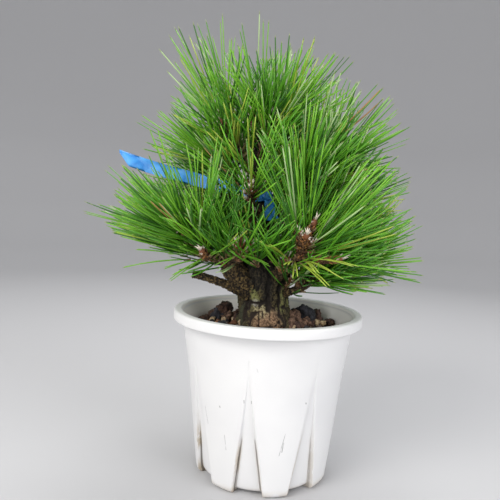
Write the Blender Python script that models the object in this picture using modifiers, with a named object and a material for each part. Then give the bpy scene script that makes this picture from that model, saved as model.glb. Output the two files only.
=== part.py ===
"""Black pine bonsai growing in a slotted nursery pot, as separate closed solids.

Units are metres with +Z up. The origin is the centre of the pot's underside, and the
front of the tree faces -Y. The pot, its soil, the trunk, each bough, each mass of
needles and the marker ribbon are one object each.
"""
import math
import random
from collections import namedtuple

import bmesh
import bpy
import numpy as np
from mathutils import Matrix, Vector

MM = 0.001
GAP = 0.3 * MM
TURN = 2.0 * math.pi

# Pot: a 150 mm slotted nursery pot whose wall is pressed in between eight feet
POT_HEIGHT = 129.0 * MM
RIM_RADIUS = 75.0 * MM
RIM_BOTTOM = 121.3 * MM
RIM_ROUNDING = 1.2 * MM
LIP_RADIUS = 68.8 * MM
FOOT_RADIUS = 53.2 * MM
FOOT_ROUNDING = 5.0 * MM
WALL_TAPER = 0.104
TOP_FLARE = 0.043
TOP_FLARE_START = 77.0 * MM
WALL_THICKNESS = 2.0 * MM
FLOOR_THICKNESS = 3.5 * MM
POT_STEPS = 32
PANELS = 8
FIRST_RECESS = math.radians(-100.0)
RECESS_TOP = 95.0 * MM
RECESS_WIDTH = 24.0 * MM
RECESS_DEPTH = 4.5 * MM
CHANNEL_HEIGHT = 2.0 * MM
CHANNEL_INNER_RADIUS = 24.0 * MM
SLIT_WIDTH = 1.0 * MM
SLIT_BOTTOM = 4.0 * MM
SLIT_TOP = 40.0 * MM
CUT_OVERRUN = 1.0 * MM

# Soil: coarse grains up to a level seat under the trunk
SOIL_LEVEL = 112.0 * MM
SOIL_STEPS = 24
SOIL_SEAT_RADIUS = 30.0 * MM
SOIL_RELIEF = 3.5 * MM
SOIL_SEED = 5

# Trunk: a stout bole that thins quickly into a leader leaning to the left
TRUNK_FOOT = Vector((-3.0, -2.0, 0.0)) * MM + Vector((0.0, 0.0, SOIL_LEVEL + GAP))
TRUNK_HEIGHT = 150.0 * MM
LEADER_LEAN = Vector((-10.5, -2.5, 0.0)) * MM
BOLE_RADIUS = 19.0 * MM
LEADER_BASE_RADIUS = 10.0 * MM
LEADER_TIP_RADIUS = 3.0 * MM
FORK_LOW = 36.0 * MM
FORK_HIGH = 80.0 * MM
ROOT_FLARE = 5.0 * MM
ROOT_FLARE_HEIGHT = 9.0 * MM
ROOT_LOBES = 5
TRUNK_SIDES = 12
TRUNK_RINGS = 13

# Masses: twigs and candles whose faces are drawn out into needles
TWIG_SIDES = 5
STEM_RADIUS = 2.2 * MM
CANDLE_RADIUS = 2.6 * MM
CANDLE_TIP_RADIUS = 1.5 * MM
NEEDLE_ROW = 2.6 * MM
NEEDLE_RADIUS = 1.7 * MM
NEEDLE_TIP_RADIUS = 0.25 * MM
TILT_AT_FOOT = 64.0
TILT_AT_TIP = 6.0
TILT_VARIES = 6.0
NEEDLE_LIFT = 0.38
SHOOT_LIFT = 0.2
STEEPEST_FALL = -0.25
LEAST_SPREAD = 0.22
LOWEST_NEEDLE = 134.0 * MM

# Marker ribbon tied round the leader
RIBBON_HEIGHT = 219.5 * MM
RIBBON_WIDTH = 10.5 * MM
RIBBON_THICKNESS = 0.8 * MM

Bough = namedtuple("Bough", "name height tip butt_radius tip_radius")
Mass = namedtuple("Mass", "name limb side hub azimuth elevation candle needle shoots")

# Height is above the pot's underside and the tip is where a mass takes over, in mm
BOUGHS = (
    Bough("bough_left", 141, (-31, -17, 166), 12.0, 8.0),
    Bough("bough_left_back", 161, (-47, -1, 169), 4.8, 3.2),
    Bough("bough_right", 154, (44, -4, 163), 6.0, 3.4),
    Bough("bough_low_right", 141, (24, -15, 149), 4.2, 2.8),
    Bough("bough_front_right", 153, (15, -27, 169), 6.5, 4.0),
    Bough("bough_back_left_low", 152, (-34, 27, 171), 5.0, 3.2),
    Bough("bough_back_low", 151, (-5, 36, 169), 5.8, 3.2),
    Bough("bough_back_right_low", 160, (28, 28, 172), 5.5, 3.2),
    Bough("bough_centre_front", 181, (-14, -16, 205), 3.6, 2.4),
    Bough("bough_centre_right", 190, (12, -8, 216), 3.2, 2.4),
    Bough("bough_mid_right", 174, (34, 7, 204), 4.6, 2.8),
    Bough("bough_mid_left", 200, (-32, 3, 234), 3.8, 2.6),
    Bough("bough_back_left_mid", 181, (-30, 19, 215), 4.2, 2.6),
    Bough("bough_back_right_mid", 187, (11, 24, 215), 4.0, 2.6),
    Bough("bough_right_shoulder", 200, (34, 9, 234), 3.4, 2.4),
    Bough("bough_right_crown", 208, (24, 3, 244), 3.0, 2.2),
    Bough("bough_upper_left", 232, (-31, -6, 257), 3.0, 2.0),
    Bough("bough_upper_right", 240, (-3, -2, 267), 2.8, 1.9),
    Bough("bough_upper_back", 226, (-8, 15, 250), 3.2, 2.1),
)

# Hub in mm, leader shoot's azimuth from +X and elevation in degrees, lengths in mm
MASSES = (
    Mass("mass_low_left", "bough_left", (4, 0), (-45, -31, 172), 184, 55, 28, 74, 5),
    Mass("mass_inner_front", "bough_left", (-4, 1), (-23, -35, 170), 300, 80, 12, 62, 5),
    Mass("mass_low_left_back", "bough_left_back", (0, 0), (-57, -6, 173), 185, 20, 14, 70, 4),
    Mass("mass_low_right", "bough_right", (0, 0), (51, -7, 167), 345, 35, 12, 64, 5),
    Mass("mass_low_right_front", "bough_low_right", (0, 0), (32, -20, 156), 340, 20, 10, 60, 4),
    Mass("mass_front_right", "bough_front_right", (2, 1), (20, -38, 173), 320, 65, 28, 74, 5),
    Mass("mass_back_left_low", "bough_back_left_low", (0, 0), (-43, 33, 176), 140, 20, 16, 68, 4),
    Mass("mass_back_low", "bough_back_low", (0, 0), (-6, 45, 174), 95, 20, 16, 66, 4),
    Mass("mass_back_right_low", "bough_back_right_low", (0, 0), (35, 35, 176), 50, 25, 16, 68, 4),
    Mass("mass_centre_front", "bough_centre_front", (0, 0), (-16, -23, 214), 275, 60, 12, 64, 4),
    Mass("mass_centre_right", "bough_centre_right", (0, 0), (20, -11, 221), 320, 60, 14, 68, 4),
    Mass("mass_mid_right", "bough_mid_right", (0, 0), (43, 9, 209), 345, 35, 12, 66, 4),
    Mass("mass_mid_left", "bough_mid_left", (0, 0), (-38, 3, 241), 185, 45, 12, 70, 4),
    Mass("mass_back_left_mid", "bough_back_left_mid", (0, 0), (-37, 25, 221), 150, 25, 16, 68, 4),
    Mass("mass_back_right_mid", "bough_back_right_mid", (0, 0), (17, 31, 221), 80, 25, 16, 68, 4),
    Mass("mass_right_shoulder", "bough_right_shoulder", (0, 0), (41, 8, 241), 10, 45, 12, 70, 4),
    Mass("mass_right_crown", "bough_right_crown", (0, 0), (29, 4, 250), 10, 70, 12, 70, 4),
    Mass("mass_upper_left", "bough_upper_left", (0, 0), (-37, -6, 266), 185, 70, 12, 80, 4),
    Mass("mass_upper_right", "bough_upper_right", (0, 0), (0, -2, 270), 5, 70, 12, 74, 4),
    Mass("mass_upper_back", "bough_upper_back", (0, 0), (-8, 20, 256), 80, 65, 14, 72, 4),
    Mass("mass_leader", "trunk", (0, 0), (-14, -5, 267), 30, 80, 14, 76, 4),
)


def clear_scene():
    """Remove whatever the open file holds."""
    for item in list(bpy.data.objects):
        bpy.data.objects.remove(item, do_unlink=True)


def new_collection(name):
    collection = bpy.data.collections.new(name)
    bpy.context.scene.collection.children.link(collection)
    return collection


def new_material(name, colour, roughness):
    """A Principled material of one colour."""
    material = bpy.data.materials.new(name)
    material.use_nodes = True
    shader = material.node_tree.nodes["Principled BSDF"]
    shader.inputs["Base Color"].default_value = (*colour, 1.0)
    shader.inputs["Roughness"].default_value = roughness
    shader.inputs["Metallic"].default_value = 0.0
    material.diffuse_color = (*colour, 1.0)
    return material


def new_object(name, bm, collection):
    """Turn a bmesh into an object with its place in its mesh."""
    mesh = bpy.data.meshes.new(name)
    bm.to_mesh(mesh)
    bm.free()
    piece = bpy.data.objects.new(name, mesh)
    collection.objects.link(piece)
    return piece


def hull(name, corners, collection):
    """Closed convex solid round a few corners."""
    bm = bmesh.new()
    for corner in corners:
        bm.verts.new(corner)
    result = bmesh.ops.convex_hull(bm, input=bm.verts)
    unused = [item for item in result["geom_interior"] if isinstance(item, bmesh.types.BMVert)]
    bmesh.ops.delete(bm, geom=unused, context="VERTS")
    bmesh.ops.recalc_face_normals(bm, faces=bm.faces)
    return new_object(name, bm, collection)


def cone(name, start, end, start_radius, end_radius, sides, collection):
    """Tapering solid between two points: a twig, a candle or, with no end radius, a needle."""
    axis = end - start
    turn = axis.to_track_quat("Z", "Y").to_matrix().to_4x4()
    bm = bmesh.new()
    bmesh.ops.create_cone(
        bm, cap_ends=True, segments=sides, radius1=start_radius, radius2=end_radius,
        depth=axis.length, matrix=Matrix.Translation((start + end) / 2.0) @ turn)
    return new_object(name, bm, collection)


def loft(name, rings, collection):
    """Closed solid through a stack of rings with equal numbers of points."""
    bm = bmesh.new()
    loops = [[bm.verts.new(point) for point in ring] for ring in rings]
    count = len(loops[0])
    for lower, upper in zip(loops, loops[1:]):
        for i in range(count):
            j = (i + 1) % count
            bm.faces.new((lower[i], lower[j], upper[j], upper[i]))
    bm.faces.new(list(reversed(loops[0])))
    bm.faces.new(loops[-1])
    bmesh.ops.triangulate(bm, faces=bm.faces)
    bmesh.ops.recalc_face_normals(bm, faces=bm.faces)
    return new_object(name, bm, collection)


def apply_modifiers(piece):
    """Replace an object's mesh with its evaluated one and drop its modifiers."""
    depsgraph = bpy.context.evaluated_depsgraph_get()
    mesh = bpy.data.meshes.new_from_object(piece.evaluated_get(depsgraph))
    old_mesh = piece.data
    piece.modifiers.clear()
    piece.data = mesh
    bpy.data.meshes.remove(old_mesh)


def combine(piece, collection, operation):
    """Apply one Boolean with every object of a collection, then remove that collection."""
    modifier = piece.modifiers.new(operation.lower(), "BOOLEAN")
    modifier.operation = operation
    modifier.solver = "EXACT"
    modifier.operand_type = "COLLECTION"
    modifier.collection = collection
    apply_modifiers(piece)
    for item in list(collection.objects):
        mesh = item.data
        bpy.data.objects.remove(item, do_unlink=True)
        bpy.data.meshes.remove(mesh)
    bpy.data.collections.remove(collection)


def keep_largest_shell(piece):
    """Fill sealed hollows and drop loose scraps by keeping only the outermost shell."""
    bm = bmesh.new()
    bm.from_mesh(piece.data)
    bm.verts.ensure_lookup_table()
    unseen = set(bm.verts)
    shells = []
    while unseen:
        queue = [unseen.pop()]
        shell = []
        while queue:
            vert = queue.pop()
            shell.append(vert)
            for edge in vert.link_edges:
                other = edge.other_vert(vert)
                if other in unseen:
                    unseen.remove(other)
                    queue.append(other)
        shells.append(shell)
    shells.sort(key=shell_size)
    for shell in shells[:-1]:
        bmesh.ops.delete(bm, geom=shell, context="VERTS")
    bm.to_mesh(piece.data)
    bm.free()


def shell_size(shell):
    """Diagonal of the box round a shell's points."""
    points = np.array([vert.co for vert in shell])
    return float(np.linalg.norm(points.max(axis=0) - points.min(axis=0)))


def polar(radius, angle, height):
    return Vector((radius * math.cos(angle), radius * math.sin(angle), height))


def heading(azimuth, elevation):
    """Unit vector from an azimuth and an elevation in degrees."""
    return polar(math.cos(math.radians(elevation)), math.radians(azimuth),
                 math.sin(math.radians(elevation)))


def across(direction):
    """Two unit vectors square to a direction: one level, one in the upright plane."""
    level = direction.cross(Vector((0.0, 0.0, 1.0)))
    if level.length < 1e-4:
        level = Vector((1.0, 0.0, 0.0))
    level.normalize()
    return level, level.cross(direction).normalized()


def lean_from(direction, tilt, turn):
    """Unit vector tilted away from a direction, turned about it."""
    level, upright = across(direction)
    side = level * math.cos(turn) + upright * math.sin(turn)
    return (direction * math.cos(tilt) + side * math.sin(tilt)).normalized()


def lifted(direction, share):
    """Direction turned towards the light, the more so the lower it points."""
    return (direction + Vector((0.0, 0.0, share * (1.0 - direction.z)))).normalized()


# Pot


def wall_radius(height):
    """Outside of the wall: a straight taper with a slight flare over its top third."""
    return FOOT_RADIUS + WALL_TAPER * height + TOP_FLARE * max(0.0, height - TOP_FLARE_START)


def inner_radius(height):
    """Inside of the wall, far enough in to clear the recesses."""
    recess = RECESS_DEPTH * max(0.0, 1.0 - height / RECESS_TOP)
    return wall_radius(height) - recess - WALL_THICKNESS


def pot_section():
    """Half section of the pot, down the outside, across the underside and up the inside."""
    foot = wall_radius(FOOT_ROUNDING)
    return [
        (RIM_RADIUS - RIM_ROUNDING, POT_HEIGHT),
        (RIM_RADIUS, POT_HEIGHT - RIM_ROUNDING),
        (RIM_RADIUS, RIM_BOTTOM + RIM_ROUNDING),
        (RIM_RADIUS - RIM_ROUNDING, RIM_BOTTOM),
        (wall_radius(RIM_BOTTOM), RIM_BOTTOM),
        (wall_radius(TOP_FLARE_START), TOP_FLARE_START),
        (foot, FOOT_ROUNDING),
        (foot - 0.3 * FOOT_ROUNDING, 0.3 * FOOT_ROUNDING),
        (foot - FOOT_ROUNDING, 0.0),
        (0.0, 0.0),
        (0.0, FLOOR_THICKNESS),
        (inner_radius(FLOOR_THICKNESS), FLOOR_THICKNESS),
        (inner_radius(RECESS_TOP), RECESS_TOP),
        (inner_radius(RIM_BOTTOM), RIM_BOTTOM),
        (LIP_RADIUS, POT_HEIGHT - RIM_ROUNDING),
        (LIP_RADIUS + RIM_ROUNDING, POT_HEIGHT),
    ]


def turned(name, section, steps, collection):
    """Closed solid of revolution from a half section."""
    bm = bmesh.new()
    points = [bm.verts.new((radius, 0.0, height)) for radius, height in section]
    for lower, upper in zip(points, points[1:] + points[:1]):
        if lower.co.x > 0.0 or upper.co.x > 0.0:
            bm.edges.new((lower, upper))
    piece = new_object(name, bm, collection)
    screw = piece.modifiers.new("turn", "SCREW")
    screw.axis = "Z"
    screw.angle = TURN
    screw.steps = steps
    screw.render_steps = steps
    screw.use_merge_vertices = True
    screw.merge_threshold = 0.0001
    apply_modifiers(piece)
    bm = bmesh.new()
    bm.from_mesh(piece.data)
    bmesh.ops.recalc_face_normals(bm, faces=bm.faces)
    bm.to_mesh(piece.data)
    bm.free()
    return piece


def recess_cutters(angle, cutters):
    """Long triangular recess, the drain channel under it and a slit down each of its sides."""
    outward = polar(1.0, angle, 0.0)
    sideways = polar(1.0, angle + math.pi / 2.0, 0.0)
    floor_radius = wall_radius(0.0) - RECESS_DEPTH
    beyond = RIM_RADIUS
    apex = outward * wall_radius(RECESS_TOP) + Vector((0.0, 0.0, RECESS_TOP))
    down = Vector((0.0, 0.0, -CUT_OVERRUN))
    half = sideways * RECESS_WIDTH / 2.0
    wide = half * (beyond / floor_radius)
    hull("recess", [outward * floor_radius + half + down, outward * floor_radius - half + down,
                    outward * beyond + wide + down, outward * beyond - wide + down, apex], cutters)
    up = Vector((0.0, 0.0, CHANNEL_HEIGHT))
    footprint = [outward * CHANNEL_INNER_RADIUS, outward * beyond + wide, outward * beyond - wide]
    hull("channel", [point + level for point in footprint for level in (down, up)], cutters)
    for side in (-1.0, 1.0):
        foot = outward * floor_radius + (half - sideways * SLIT_WIDTH) * side
        corners = []
        for height in (SLIT_BOTTOM, SLIT_TOP):
            centre = foot.lerp(apex, height / RECESS_TOP)
            for offset in (-SLIT_WIDTH / 2.0, SLIT_WIDTH / 2.0):
                for depth in (-3.0 * WALL_THICKNESS, WALL_THICKNESS):
                    corners.append(centre + sideways * offset + outward * depth)
        hull("slit", corners, cutters)


def make_pot(parts):
    pot = turned("pot", pot_section(), POT_STEPS, parts)
    cutters = new_collection("pot_cutters")
    for panel in range(PANELS):
        recess_cutters(FIRST_RECESS + TURN * panel / PANELS, cutters)
    combine(pot, cutters, "DIFFERENCE")
    pot.data.materials.clear()
    pot.data.materials.append(new_material("white_plastic", (0.82, 0.83, 0.85), 0.42))
    return pot


# Soil


def make_soil(parts):
    """Filling of the pot with an uneven top round the trunk's level seat."""
    fit = math.cos(math.pi / POT_STEPS)
    bottom = FLOOR_THICKNESS + GAP
    rings = [
        (inner_radius(bottom) * fit - GAP, bottom),
        (inner_radius(SOIL_LEVEL - 2.0 * MM) * fit - GAP, SOIL_LEVEL - 2.0 * MM),
        (54.0 * MM, SOIL_LEVEL),
        (44.0 * MM, SOIL_LEVEL),
        (SOIL_SEAT_RADIUS + 4.0 * MM, SOIL_LEVEL),
        (SOIL_SEAT_RADIUS, SOIL_LEVEL),
    ]
    dice = random.Random(SOIL_SEED)
    loops = []
    for index, (radius, height) in enumerate(rings):
        rough = SOIL_RELIEF if 2 <= index <= 4 else 0.0
        loops.append([
            polar(radius, TURN * (k + 0.5 * (index % 2)) / SOIL_STEPS, height + dice.uniform(-0.6, 1.0) * rough)
            for k in range(SOIL_STEPS)])
    soil = loft("soil", loops, parts)
    soil.data.materials.append(new_material("potting_grit", (0.12, 0.075, 0.05), 0.95))
    return soil


# Trunk


def trunk_point(height):
    """Trunk's centre at a height above its foot."""
    share = height / TRUNK_HEIGHT
    return TRUNK_FOOT + LEADER_LEAN * share ** 1.5 + Vector((0.0, 0.0, height))


def trunk_radius(height):
    """Bole that thins through the fork into the leader, with a root flare at the foot."""
    leader = LEADER_BASE_RADIUS + (LEADER_TIP_RADIUS - LEADER_BASE_RADIUS) * height / TRUNK_HEIGHT
    share = min(1.0, max(0.0, (height - FORK_LOW) / (FORK_HIGH - FORK_LOW)))
    fade = share * share * (3.0 - 2.0 * share)
    flare = ROOT_FLARE * math.exp(-height / ROOT_FLARE_HEIGHT)
    return BOLE_RADIUS * (1.0 - fade) + leader * fade + flare


def trunk_rings(extra):
    """Cross-sections of the trunk, closer together near the foot, grown by an extra radius."""
    rings = []
    for step in range(TRUNK_RINGS):
        height = TRUNK_HEIGHT * (step / (TRUNK_RINGS - 1)) ** 1.25
        lobes = 0.13 * math.exp(-height / (2.0 * ROOT_FLARE_HEIGHT))
        ring = []
        for k in range(TRUNK_SIDES):
            angle = TURN * k / TRUNK_SIDES
            radius = trunk_radius(height) * (1.0 + lobes * math.cos(ROOT_LOBES * angle + 0.6))
            ring.append(trunk_point(height) + polar(radius + extra, angle, 0.0))
        rings.append(ring)
    return rings


def make_trunk(parts, bark):
    trunk = loft("trunk", trunk_rings(0.0), parts)
    trunk.data.materials.append(bark)
    return trunk


# Boughs


def bough_path(bough):
    """Centre line of a bough: out from the trunk first, then turning up to its tip."""
    start = trunk_point(bough.height * MM - TRUNK_FOOT.z)
    tip = Vector(bough.tip) * MM
    bend = start.lerp(tip, 0.6)
    bend.z = start.z + 0.25 * (tip.z - start.z)
    steps = 4
    points = []
    for step in range(steps + 1):
        share = step / steps
        points.append(start.lerp(bend, share).lerp(bend.lerp(tip, share), share))
    return points


def bough_radii(bough, count):
    return [(bough.butt_radius + (bough.tip_radius - bough.butt_radius) * i / (count - 1)) * MM
            for i in range(count)]


def tube(name, points, radii, resolution, collection):
    """Tapering round limb: a bevelled curve with filled caps, made a closed mesh."""
    curve = bpy.data.curves.new(name, "CURVE")
    curve.dimensions = "3D"
    curve.bevel_depth = 1.0
    curve.bevel_resolution = resolution
    curve.use_fill_caps = True
    spline = curve.splines.new("POLY")
    spline.points.add(len(points) - 1)
    for target, point, radius in zip(spline.points, points, radii):
        target.co = (*point, 1.0)
        target.radius = radius
    guide = bpy.data.objects.new(name + "_curve", curve)
    collection.objects.link(guide)
    depsgraph = bpy.context.evaluated_depsgraph_get()
    mesh = bpy.data.meshes.new_from_object(guide.evaluated_get(depsgraph))
    bm = bmesh.new()
    bm.from_mesh(mesh)
    bmesh.ops.remove_doubles(bm, verts=bm.verts, dist=0.00001)
    bmesh.ops.triangulate(bm, faces=bm.faces)
    bmesh.ops.recalc_face_normals(bm, faces=bm.faces)
    bpy.data.objects.remove(guide, do_unlink=True)
    bpy.data.curves.remove(curve)
    bpy.data.meshes.remove(mesh)
    return new_object(name, bm, collection)


def fit_to(piece, makers):
    """Cut a limb back to a small gap from what carries it."""
    cutters = new_collection(piece.name + "_cutters")
    for make in makers:
        make(cutters)
    combine(piece, cutters, "DIFFERENCE")
    keep_largest_shell(piece)


def trunk_clearance(collection):
    return loft("trunk_clearance", trunk_rings(GAP), collection)


def make_boughs(parts, bark):
    for bough in BOUGHS:
        points = bough_path(bough)
        resolution = 2 if bough.butt_radius > 6.2 else 1
        limb = tube(bough.name, points, bough_radii(bough, len(points)), resolution, parts)
        fit_to(limb, [trunk_clearance])
        limb.data.materials.append(bark)


STUB_PATH = ((-23.0, -12.0, 145.0), (-36.0, -13.0, 150.0), (-48.0, -13.0, 153.5), (-60.0, -12.5, 156.0))
STUB_RADII = (3.7, 3.2, 2.9, 3.1)


def make_stub(parts, bark):
    """Pruned branch under the left bough, with its sawn end."""
    points = [Vector(point) * MM for point in STUB_PATH]
    stub = tube("pruned_stub", points, [radius * MM for radius in STUB_RADII], 1, parts)
    left = BOUGHS[0]
    path = bough_path(left)

    def bough_clearance(collection):
        radii = [radius + 1.1 * GAP for radius in bough_radii(left, len(path))]
        return tube("bough_clearance", path, radii, 2, collection)

    fit_to(stub, [trunk_clearance, bough_clearance])
    stub.data.materials.append(bark)


# Marker ribbon


def ribbon_tail():
    """Centre line of the long tail, from the leader out to the left, with a half width each."""
    knot = ribbon_knot()
    points = []
    steps = 12
    for step in range(steps + 1):
        share = step / steps
        reach = -6.0 * MM - 113.0 * MM * share
        sway = 2.5 * MM * math.sin(share * 1.4 * math.pi) + 8.0 * MM * share
        rise = 24.5 * MM * share + 6.0 * MM * share ** 6
        width = RIBBON_WIDTH / 2.0 * min(1.0, 0.55 + 1.8 * share) * min(1.0, 5.0 * (1.04 - share))
        points.append((knot + Vector((reach, sway, rise)), width))
    return points


def ribbon_knot():
    """Knot in front of the leader, on its right."""
    height = RIBBON_HEIGHT - TRUNK_FOOT.z
    reach = trunk_radius(height) + 3.0 * MM
    return trunk_point(height) + polar(reach, math.radians(-52.0), 0.0)


def ribbon_end():
    """Centre line of the short end that hangs from the knot."""
    knot = ribbon_knot()
    points = []
    steps = 4
    for step in range(steps + 1):
        share = step / steps
        drop = Vector((1.0 * MM + 3.5 * MM * share, -2.5 * MM * share, -19.0 * MM * share))
        points.append((knot + drop, (3.0 + 2.6 * share) * MM))
    return points


def strip(name, centre_line, upright, collection):
    """Thin ribbon along a centre line, made solid by Solidify."""
    bm = bmesh.new()
    edges = []
    for point, half_width in centre_line:
        edges.append((bm.verts.new(point + upright * half_width), bm.verts.new(point - upright * half_width)))
    for (high, low), (next_high, next_low) in zip(edges, edges[1:]):
        bm.faces.new((high, low, next_low, next_high))
    bmesh.ops.triangulate(bm, faces=bm.faces)
    piece = new_object(name, bm, collection)
    solid = piece.modifiers.new("thickness", "SOLIDIFY")
    solid.thickness = RIBBON_THICKNESS
    solid.offset = 0.0
    apply_modifiers(piece)
    return piece


def make_ribbon(parts):
    height = RIBBON_HEIGHT - TRUNK_FOOT.z
    centre = trunk_point(height)
    inside = (trunk_radius(height - 4.0 * MM) + GAP) / math.cos(math.pi / TRUNK_SIDES)
    outside = inside + RIBBON_THICKNESS * 1.6
    half = 3.5 * MM
    band = turned("marker_ribbon", [(outside, half), (outside, -half), (inside, -half), (inside, half)],
                  TRUNK_SIDES, parts)
    for vert in band.data.vertices:
        vert.co += centre
    scraps = new_collection("ribbon_scraps")
    strip("tail", ribbon_tail(), Vector((0.0, 0.0, 1.0)), scraps)
    strip("end", ribbon_end(), Vector((1.0, 0.0, 0.0)), scraps)
    bm = bmesh.new()
    place = Matrix.Translation(ribbon_knot()) @ Matrix.Diagonal((4.2 * MM, 2.4 * MM, 3.8 * MM, 1.0))
    bmesh.ops.create_icosphere(bm, subdivisions=1, radius=1.0, matrix=place)
    new_object("knot", bm, scraps)
    combine(band, scraps, "UNION")
    keep_largest_shell(band)
    band.data.materials.clear()
    band.data.materials.append(new_material("blue_ribbon", (0.05, 0.33, 0.80), 0.45))


# Masses of needles


def segments_of(points, radii):
    """Stretches of a limb as (start, end, radius) rows."""
    return [(a, b, max(ra, rb)) for a, b, ra, rb in zip(points, points[1:], radii, radii[1:])]


def limb_segments():
    """Every stretch of limb and ribbon that needles keep clear of."""
    heights = [TRUNK_HEIGHT * step / 14 for step in range(15)]
    rows = segments_of([trunk_point(h) for h in heights], [trunk_radius(h) for h in heights])
    for bough in BOUGHS:
        points = bough_path(bough)
        rows += segments_of(points, bough_radii(bough, len(points)))
    rows += segments_of([Vector(point) * MM for point in STUB_PATH], [radius * MM for radius in STUB_RADII])
    for line in (ribbon_tail(), ribbon_end()):
        rows += segments_of([point for point, _ in line], [half + RIBBON_THICKNESS for _, half in line])
    return rows


def distances(points, starts, ends):
    """Distance from every point to every segment."""
    along = ends - starts
    length2 = np.maximum((along ** 2).sum(axis=1), 1e-12)
    offset = points[:, None, :] - starts[None, :, :]
    share = np.clip((offset * along[None]).sum(axis=2) / length2[None], 0.0, 1.0)
    return np.linalg.norm(offset - share[..., None] * along[None], axis=2)


def limb_tip(limb):
    """End point, direction and side vectors of the limb that carries a mass."""
    if limb == "trunk":
        last = trunk_point(TRUNK_HEIGHT)
        before = last - Vector((0.0, 0.0, 1.0))
    else:
        bough = next(item for item in BOUGHS if item.name == limb)
        points = bough_path(bough)
        last, before = points[-1], points[-2]
    direction = (last - before).normalized()
    level, upright = across(direction)
    return last, direction, level, upright


def mass_spine(mass):
    """Stem from the limb's tip to the hub, and on to the tip of the leading candle."""
    tip, direction, level, upright = limb_tip(mass.limb)
    root = tip + direction * GAP + level * mass.side[0] * MM + upright * mass.side[1] * MM
    hub = Vector(mass.hub) * MM
    knee = root + direction * (hub - root).length * 0.4
    end = hub + heading(mass.azimuth, mass.elevation) * mass.candle * MM
    return [root, knee, hub, end]


class Crown:
    """Knows each mass's own space and the limbs that twigs and needles keep clear of."""

    def __init__(self):
        self.spines = []
        for mass in MASSES:
            spine = np.array([tuple(point) for point in mass_spine(mass)])
            self.spines.append((spine[:-1], spine[1:]))
        rows = limb_segments()
        self.starts = np.array([tuple(row[0]) for row in rows])
        self.ends = np.array([tuple(row[1]) for row in rows])
        self.radii = np.array([row[2] for row in rows])

    def has_room(self, index, starts, ends, radius, tip_radius, skip=0.0):
        """Which twigs or needles stay in their mass's space and clear of every limb."""
        share = np.linspace(skip, 1.0, 14)
        starts = np.array([tuple(point) for point in starts])[:, None, :]
        ends = np.array([tuple(point) for point in ends])[:, None, :]
        points = (starts + (ends - starts) * share[None, :, None]).reshape(-1, 3)
        radii = np.tile(radius + (tip_radius - radius) * share, len(starts))
        limbs = distances(points, self.starts, self.ends) - self.radii[None]
        clear = (limbs.min(axis=1) >= radii + GAP) & (points[:, 2] >= LOWEST_NEEDLE)
        own = distances(points, *self.spines[index]).min(axis=1)
        for other, spine in enumerate(self.spines):
            if other != index:
                clear &= distances(points, *spine).min(axis=1) - own >= 2.0 * radii + GAP
        return clear.reshape(len(starts), -1).all(axis=1)


def shoots_of(mass, dice):
    """Leading candle and the side candles round it, as (foot, tip) pairs."""
    spine = mass_spine(mass)
    hub, end = spine[2], spine[3]
    lead = (end - hub).normalized()
    shoots = [(hub, end)]
    phase = dice.uniform(0.0, TURN)
    for k in range(mass.shoots - 1):
        tilt = math.radians(dice.uniform(34.0, 46.0))
        side = lean_from(lead, tilt, phase + TURN * k / (mass.shoots - 1) + dice.uniform(-0.3, 0.3))
        side = lifted(side, SHOOT_LIFT)
        foot = hub.lerp(end, 0.12 + 0.1 * k)
        shoots.append((foot, foot + side * mass.candle * MM * dice.uniform(0.7, 0.85)))
    return shoots


def needles_of(foot, tip, length, dice):
    """Needles round a candle, row by row: wide apart at its foot, gathered round its tip."""
    lead = (tip - foot).normalized()
    level, upright = across(lead)
    phase = dice.uniform(0.0, TURN)
    rows = max(2, round((tip - foot).length / NEEDLE_ROW))
    needles = []
    for row in range(rows):
        share = (row + 0.5) / rows
        radius = CANDLE_RADIUS + (CANDLE_TIP_RADIUS - CANDLE_RADIUS) * share
        for side in range(TWIG_SIDES):
            turn = phase + TURN * (side + 0.5 * row) / TWIG_SIDES
            outward = level * math.cos(turn) + upright * math.sin(turn)
            tilt = TILT_AT_TIP + (TILT_AT_FOOT - TILT_AT_TIP) * (1.0 - share) ** 0.6
            tilt = math.radians(tilt + dice.uniform(-TILT_VARIES, TILT_VARIES))
            way = lifted(lead * math.cos(tilt) + outward * math.sin(tilt), NEEDLE_LIFT)
            way += outward * max(0.0, LEAST_SPREAD - way.dot(outward))
            way.normalize()
            start = foot.lerp(tip, share) + outward * radius * math.cos(math.pi / TWIG_SIDES)
            reach = length * (0.86 + 0.14 * share) * dice.uniform(0.88, 1.05)
            if way.z > STEEPEST_FALL:
                needles.append((start, start + way * reach))
    needles.append((tip, tip + lifted(lead, NEEDLE_LIFT) * length))
    return phase, rows, needles


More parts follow.
